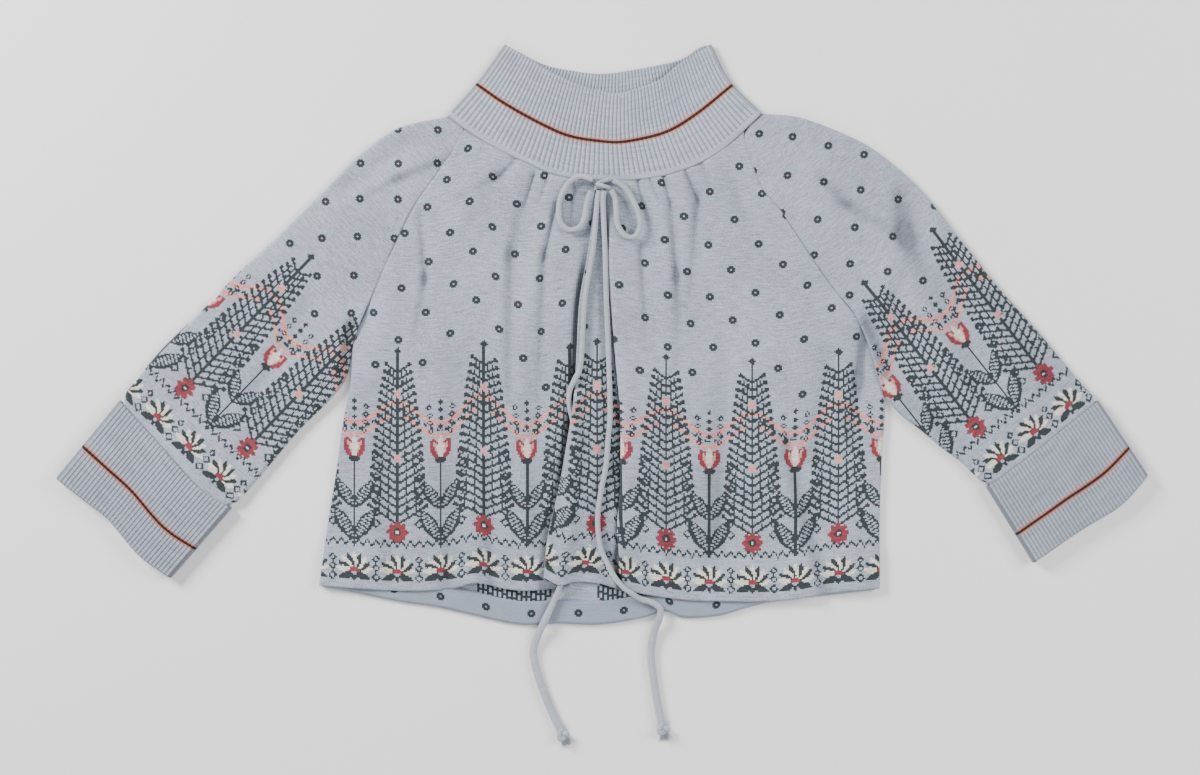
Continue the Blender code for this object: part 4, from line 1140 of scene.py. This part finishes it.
hem_span = np.array([(-275.0, 0.0), (270.0, 0.0), (270.0, 21.8), (-275.0, 21.8)])
hem_facing = lay_panel("hem_facing", "back_hem_facing", hem_span, flat_place(WALL + 0.35 + FACING_WALL / 2, 1.2),
                       hem_dots, thick=FACING_WALL, slot="inner_facing")

# %% [markdown]
# ## Ribbed collar and cuffs
# Rib is knitted in columns that stand up and fall back. It could be a bump on a smooth tube, but these ribs catch
# the light along their whole length, so they are real. Each row of the collar is a ring round the flattened tube
# whose height follows a rounded rib, and the rings are joined from seam to edge and back down the inside. A cuff
# is made the same way.

# %% Ring round a flattened rib tube
RIB_RAISE = 0.9
RIB_WALL = 2.2
RIB_STEPS = 6             # points across one rib
RIB_STITCH = 2.4
EDGE_STEPS = 6
COLLAR_HEIGHT = 7.6
COLLAR_RIBS = 65
COLLAR_DEPTH = 92.0
CUFF_HEIGHT = 12.0
CUFF_RIBS = 36
CUFF_DEPTH = 95.0


def rib_shape(phase):
    """Height of a rounded rib from 0 in its groove to 1."""
    return np.abs(np.sin(math.pi * phase)) ** 0.55


def turned_edge(a, b, tip, spread):
    """Points of the half round that joins the last point of one layer to the first of the other."""
    out = tip - (a[:2] + b[:2]) / 2
    out = out / np.linalg.norm(out) * spread
    points = []
    for step in range(1, EDGE_STEPS):
        angle = math.pi / 2 - math.pi * step / EDGE_STEPS
        mix = (1 - math.sin(angle)) / 2
        spot = a[:2] * (1 - mix) + b[:2] * mix + out * math.cos(angle)
        points.append((*spot, (a[2] + b[2]) / 2 + (a[2] - b[2]) / 2 * math.sin(angle)))
    return np.array(points)


def rib_ring(over, under, high, low, ribs, inset=0.0, spread=3.0, rise=RIB_RAISE, drop=RIB_RAISE):
    """One ring and its rib phases: the upper line, a rounded edge, the lower line back, and the other edge."""
    share = np.linspace(0, 1, ribs * RIB_STEPS + 1)
    phase = share * ribs

    def layer(line, height):
        begin = (inset + spread) / line.length
        return np.column_stack([line(begin + (1 - 2 * begin) * share), height])

    upper = layer(over, high + rise * rib_shape(phase))
    lower = layer(under, low + drop * (1 - rib_shape(phase)))
    ring = np.vstack([upper, turned_edge(upper[-1], lower[-1], over(1.0), spread),
                      lower[::-1], turned_edge(lower[0], upper[0], over(0.0), spread)])
    edge_phase = np.zeros(EDGE_STEPS - 1)
    return ring, np.concatenate([phase, edge_phase, phase[::-1], edge_phase])


def row_line(surface, share):
    """The line across a patch at one share of its length."""
    def at(t):
        t = np.asarray(t, dtype=float)
        return surface(np.full(t.shape, share), t)

    at.length = float(np.sum(np.linalg.norm(np.diff(at(np.linspace(0, 1, 40)), axis=0), axis=1)))
    return at


def loft(name, node, rows, depth, colour):
    """A closed body of rib through rings of equal count, the last joined to the first."""
    rings, phases, shares = zip(*rows)
    count = len(rings[0])
    faces = ring_faces(len(rings), count, closed=True)
    phases, share = np.concatenate(phases), np.repeat(shares, count)
    mesh = mesh_of(name, np.vstack(rings), faces[:, ::-1].tolist())
    paint(mesh, np.column_stack([phases, share * depth / RIB_STITCH]),
          colour(phases[faces].mean(axis=1), share[faces].mean(axis=1)))
    print(name, "rings:", len(rings), "of", count, "points")
    return put(name, mesh, "rib_knit", node)


# %% Colour of the rib, with its stripe
STRIPE_CORE = 0.015       # half the width of the maroon line, as a share of the rib's length
# Painted shade in the grooves between ribs, and a painted highlight along their tops
RIB_SHADE = 0.6           # how dark the yarn looks deep in a groove
RIB_LIGHT = 1.08          # and how light along the top of a rib


def rib_colour(stripe_share, band=0.0, tone=1.0):
    """Rib yarn with a maroon line that fades out through orange ticks beside it, painted shade in its grooves and
    a painted highlight along the tops of its ribs.
    """
    def at(phase, share):
        colours = np.tile(YARNS["ground"], (len(phase), 1))
        off = np.abs(share - stripe_share)
        from_top = np.abs(np.mod(phase, 1.0) - 0.5)
        colours[(off < 0.05) & (from_top < 0.2)] = YARNS["salmon"]
        colours[(off < 0.031) & (from_top < 0.3)] = YARNS["orange"]
        colours[off < STRIPE_CORE] = YARNS["maroon"]
        ribbed = share >= band
        colours[(from_top > 0.36) & ribbed] *= RIB_SHADE
        colours[(from_top < 0.2) & ribbed] *= RIB_LIGHT
        colours[share < band * 0.4] *= 0.8
        return colours * tone

    return at


print("ribs on the collar and a cuff:", COLLAR_RIBS, CUFF_RIBS)

# %% Collar
SEAM_RISE = (0.0, 0.15)
COLLAR_STRIPE = 0.4705
BAND_SHARE = 0.055        # the plain linked band beside the neck seam
collar_sides = [line_along(side, shift=SEAM_RISE) for side in (COLLAR_SIDE_RIGHT, COLLAR_SIDE_LEFT)]
neck_back = [NECK_RIGHT, NECK_SEAM_BACK, NECK_LEFT[::-1]]
collar_front = patch(line_along(NECK_SEAM_FRONT, shift=SEAM_RISE), line_along(COLLAR_TOP_FRONT), *collar_sides)
collar_back = patch(line_along(*neck_back, shift=SEAM_RISE), line_along(COLLAR_TOP_BACK), *collar_sides)
top = COLLAR_HEIGHT - RIB_RAISE
rows = []
for share in np.concatenate([[0.0, 0.02, BAND_SHARE - 0.008, BAND_SHARE + 0.012], np.linspace(0.1, 0.4, 6),
                             [0.422, 0.44, 0.4545, 0.4865, 0.501, 0.519], np.linspace(0.55, 0.96, 8),
                             [0.985, 1.0]]):
    ribbed = float(ease((share - 0.045) / 0.02)) * (1.0 - 0.6 * float(ease((share - 0.97) / 0.03)))
    rows.append((*rib_ring(row_line(collar_front, share), row_line(collar_back, share),
                           top + 0.35 * (1 - ribbed), 0.0, COLLAR_RIBS, rise=RIB_RAISE * ribbed), share))
for share in np.concatenate([[1.0], np.linspace(0.985, 0.5, 9), [0.25, 0.0]]):
    ring, phase = rib_ring(row_line(collar_front, share), row_line(collar_back, share), top - RIB_WALL,
                           RIB_WALL - 0.5, COLLAR_RIBS, inset=RIB_WALL, spread=1.2, rise=0.0, drop=-RIB_RAISE)
    ring[:, 2] = np.where(ring[:, 2] < top - RIB_WALL - 1.0, ring[:, 2] + 0.5, ring[:, 2])
    rows.append((ring, phase, 2.0 - share))
cloth_collar = loft("cloth_collar", "collar", rows, COLLAR_DEPTH,
                    rib_colour(COLLAR_STRIPE, BAND_SHARE + 0.004, 0.97))

# %% [markdown]
# ## Turned-up cuffs
# Each cuff is a rib tube that is folded back over the sleeve's end, so four layers lie on each other. The rings
# run out over the sleeve, round the fold and back inside.


# %% Cuffs
def lay_cuff(name, node, top_line, end_line, stripe):
    """A rib cuff from its loose inner edge, over the fold and back to the seam."""
    surface = patch(line_along(top_line), line_along(end_line), line_along([top_line[0], end_line[0]]),
                    line_along([top_line[-1], end_line[-1]]))
    high = CUFF_HEIGHT - RIB_RAISE
    layer = RIB_WALL + LAYER_GAP
    rows = []

    def add(share, top, low, inset, spread, rise, drop, place):
        line = row_line(surface, share)
        rows.append((*rib_ring(line, line, top, low, CUFF_RIBS, inset, spread, rise, drop), place))

    for share in np.concatenate([[0.0, 0.015], np.linspace(0.05, stripe - 0.08, 6),
                                 stripe + np.array([-0.05, -0.031, -0.0145, 0.0145, 0.031, 0.05]),
                                 np.linspace(stripe + 0.08, 0.94, 8), [0.965, 0.98]]):
        soft = 1.0 - 0.55 * float(ease((0.02 - share) / 0.02)) - 0.5 * float(ease((share - 0.95) / 0.05))
        add(share, high - 0.5 * float(share < 0.01), 0.0, 0.0, 3.2, RIB_RAISE * soft, RIB_RAISE * 0.5, share)
    add(0.997, high - 1.0, 0.7, 0.6, 3.0, 0.35, 0.0, 0.99)
    add(1.0, high - 2.4, 1.9, 1.6, 2.6, 0.2, 0.0, 1.0)
    add(0.997, high - layer - 0.9, layer + 0.6, 2.6, 2.0, 0.1, 0.0, 1.02)
    for share in (0.96, 0.8, 0.5, 0.16):
        add(share, high - layer - RIB_WALL, layer + RIB_WALL - 0.3, 4.6, 1.0, 0.0, 0.3, 2.0 - share)
    for share in (0.15, 0.02, 0.0):
        add(share, high - RIB_WALL, RIB_WALL, RIB_WALL, 2.0, 0.0, 0.0, 3.0 + share)
    return loft(name, node, rows, CUFF_DEPTH, rib_colour(stripe, tone=0.8))


cloth_right_cuff = lay_cuff("cloth_right_cuff", "right_cuff", CUFF_TOP_RIGHT, CUFF_END_RIGHT, 0.58)
cloth_left_cuff = lay_cuff("cloth_left_cuff", "left_cuff", CUFF_TOP_LEFT, CUFF_END_LEFT, 0.62)

# %% [markdown]
# ## Knitted yarn as a material
# The yarn is soft, matt and slightly heathered: light and dark fibres are spun together, and the stitches make a
# fine grain. An image could show that, but two small node groups do it for every knit here, each with its own
# values: one mixes the heather into the yarn's colour, and one draws the V of each stitch as a height.


# %% Node helpers
def add_node(tree, kind, x, y, **values):
    """A shader node with its properties. A value named in_2 goes to the third socket, as a number or a link."""
    made = tree.nodes.new("ShaderNode" + kind)
    made.location = (x, y)
    for key, value in values.items():
        if not key.startswith("in_"):
            setattr(made, key, value)
        elif isinstance(value, bpy.types.NodeSocket):
            tree.links.new(value, made.inputs[int(key[3:])])
        else:
            made.inputs[int(key[3:])].default_value = value
    return made


def math_node(tree, operation, x, y, first, second=None):
    """The result of a math node fed by sockets or numbers."""
    values = {"in_0": first} if second is None else {"in_0": first, "in_1": second}
    return add_node(tree, "Math", x, y, operation=operation, **values).outputs[0]


def new_group(name, inputs, outputs):
    """An empty shader group with named sockets."""
    tree = bpy.data.node_groups.new(name, "ShaderNodeTree")
    for label, kind, value in inputs:
        socket = tree.interface.new_socket(name=label, in_out="INPUT", socket_type="NodeSocket" + kind)
        if value is not None:
            socket.default_value = value
    for label, kind in outputs:
        tree.interface.new_socket(name=label, in_out="OUTPUT", socket_type="NodeSocket" + kind)
    ends = [tree.nodes.new("NodeGroupInput"), tree.nodes.new("NodeGroupOutput")]
    for end, x in zip(ends, (-900, 900)):
        end.location = (x, 0)
    return tree, *ends


print("node helpers ready")

# %% Heathered yarn
HEATHER = [(0.9, -100), (0.6, -350), (0.28, -600)]      # strength, and the nodes' height: fine, streak, broad
STREAK_SCALE = (0.13, 0.9, 1.0)
heather, source, result = new_group(
    "heathered yarn",
    [("Yarn", "Color", (0.5, 0.5, 0.5, 1)), ("Amount", "Float", 0.5), ("Fibre", "Float", 900.0),
     ("Stitch", "Vector", None)],
    [("Color", "Color"), ("Fleck", "Float")])
spot = add_node(heather, "TexCoord", -900, -300).outputs["Object"]
streak_map = add_node(heather, "Mapping", -700, -420, in_0=source.outputs["Stitch"])
streak_map.inputs["Scale"].default_value = STREAK_SCALE
noises = [add_node(heather, "TexNoise", -650, -100, in_0=spot, in_2=source.outputs["Fibre"], in_3=2.0, in_4=0.6),
          add_node(heather, "TexNoise", -450, -420, in_0=streak_map.outputs[0], in_2=1.0, in_3=2.0),
          add_node(heather, "TexNoise", -650, -700, in_0=spot, in_2=11.0, in_3=2.0)]
mixes = []
for noise, (share, y) in zip(noises, HEATHER):
    swing = math_node(heather, "SUBTRACT", -400, y, noise.outputs[0], 0.5)
    mixes.append(math_node(heather, "MULTIPLY", -250, y, swing, share))
total = math_node(heather, "ADD", -50, -300, math_node(heather, "ADD", -150, -200, *mixes[:2]), mixes[2])
scaled = math_node(heather, "MULTIPLY", 100, -300, total, source.outputs["Amount"])
level = math_node(heather, "ADD", 250, -300, scaled, 1.0)
tint = add_node(heather, "VectorMath", 450, 0, operation="SCALE", in_0=source.outputs["Yarn"], in_3=level)
heather.links.new(tint.outputs[0], result.inputs["Color"])
heather.links.new(noises[0].outputs[0], result.inputs["Fleck"])
print("group:", heather.name, [s.name for s in heather.interface.items_tree])

# %% Stitches
stitches, source, result = new_group("knit stitches", [("Stitch", "Vector", None), ("Lean", "Float", 0.9)],
                                     [("Height", "Float"), ("Groove", "Float")])
parts = add_node(stitches, "SeparateXYZ", -700, 0, in_0=source.outputs["Stitch"])
column = math_node(stitches, "FRACT", -520, 100, parts.outputs[0])
off = math_node(stitches, "ABSOLUTE", -220, 100, math_node(stitches, "SUBTRACT", -370, 100, column, 0.5))
lean = math_node(stitches, "MULTIPLY", -70, 200, off, source.outputs["Lean"])
course = math_node(stitches, "FRACT", 230, 0, math_node(stitches, "SUBTRACT", 80, 0, parts.outputs[1], lean))
leg = math_node(stitches, "SINE", 80, 300, math_node(stitches, "MULTIPLY", -70, 300, off, 2 * math.pi))
row = math_node(stitches, "SINE", 530, 0, math_node(stitches, "MULTIPLY", 380, 0, course, math.pi))
height = math_node(stitches, "MULTIPLY", 680, 100, leg, row)
stitches.links.new(height, result.inputs["Height"])
stitches.links.new(math_node(stitches, "SUBTRACT", 680, -100, 1.0, height), result.inputs["Groove"])
print("group:", stitches.name, [s.name for s in stitches.interface.items_tree])


# %% Knit material
def knit_material(name, amount, fibre, depth, roughness, sheen, darken=0.0, tint=(1.0, 1.0, 1.0)):
    """A matt knitted yarn in the stitch colours, with heather, stitch relief, painted shade in the stitch grooves
    and a soft sheen.
    """
    made = bpy.data.materials.new(name)
    made.use_nodes = True
    tree = made.node_tree
    inputs = tree.nodes["Principled BSDF"].inputs
    for label, value in [("Roughness", roughness), ("Specular IOR Level", 0.18), ("Sheen Weight", sheen),
                         ("Sheen Roughness", 0.55), ("Sheen Tint", (0.9, 0.93, 1.0, 1.0))]:
        inputs[label].default_value = value
    yarn = add_node(tree, "VertexColor", -900, 200, layer_name="yarn").outputs["Color"]
    tinted = add_node(tree, "VectorMath", -720, 200, operation="MULTIPLY", in_0=yarn, in_1=tint).outputs[0]
    place = add_node(tree, "UVMap", -900, -200, uv_map="stitches").outputs["UV"]
    mix = add_node(tree, "Group", -520, 200, node_tree=heather, in_0=tinted, in_1=amount, in_2=fibre, in_3=place)
    relief = add_node(tree, "Group", -620, -200, node_tree=stitches, in_0=place)
    # Painted shade: the yarn's colour is drawn darker in the grooves between stitches, by the share given as
    # darken
    groove = math_node(tree, "MULTIPLY", -400, 0, relief.outputs["Groove"], darken)
    dim = math_node(tree, "SUBTRACT", -300, 0, 1.0, groove)
    shade = add_node(tree, "VectorMath", -200, 200, operation="SCALE", in_0=mix.outputs["Color"], in_3=dim)
    tree.links.new(shade.outputs[0], inputs["Base Color"])
    fleck = math_node(tree, "MULTIPLY", -480, -350, mix.outputs["Fleck"], 0.5)
    bump = add_node(tree, "Bump", -200, -200)
    bump.inputs["Strength"].default_value = 0.8
    bump.inputs["Distance"].default_value = depth
    tree.links.new(math_node(tree, "ADD", -350, -200, relief.outputs["Height"], fleck), bump.inputs["Height"])
    tree.links.new(bump.outputs[0], inputs["Normal"])
    return made


KNITS = {
    "jacquard_knit": knit_material("jacquard knit yarn", 1.7, 900.0, 0.0005, 0.92, 0.12, 0.16),
    "inner_facing": knit_material("turned hem yarn", 0.5, 900.0, 0.0004, 0.92, 0.12, 0.2, (0.8, 0.82, 0.84)),
    "rib_knit": knit_material("rib yarn", 1.2, 1000.0, 0.0004, 0.92, 0.12, 0.14),
    "drawstring": knit_material("cord yarn", 0.5, 1100.0, 0.0006, 0.88, 0.3, 0.3),
}
for slot, material in KNITS.items():
    for piece in pieces_of[slot]:
        piece.data.materials.append(material)
    print(material.name, "on", [piece.name for piece in pieces_of[slot]])

# %% [markdown]
# ## The pale sheet below
# A studio floor could be one flat colour. A very faint mottling keeps the soft shadows from looking empty.

# %% Floor material
SHEET_TONES = [(0.775, 0.77, 0.785, 1), (0.815, 0.81, 0.825, 1)]
paper = bpy.data.materials.new("pale sheet")
paper.use_nodes = True
tree = paper.node_tree
inputs = tree.nodes["Principled BSDF"].inputs
inputs["Roughness"].default_value = 0.95
inputs["Specular IOR Level"].default_value = 0.1
spot = add_node(tree, "TexCoord", -800, 0).outputs["Object"]
cloud = add_node(tree, "TexNoise", -600, 0, in_0=spot, in_2=3.0, in_3=3.0)
ramp = add_node(tree, "ValToRGB", -380, 0, in_0=cloud.outputs[0])
for stop, tone in zip(ramp.color_ramp.elements, SHEET_TONES):
    stop.color = tone
tree.links.new(ramp.outputs[0], inputs["Base Color"])
floor_mesh.materials.append(paper)
print("floor:", paper.name)
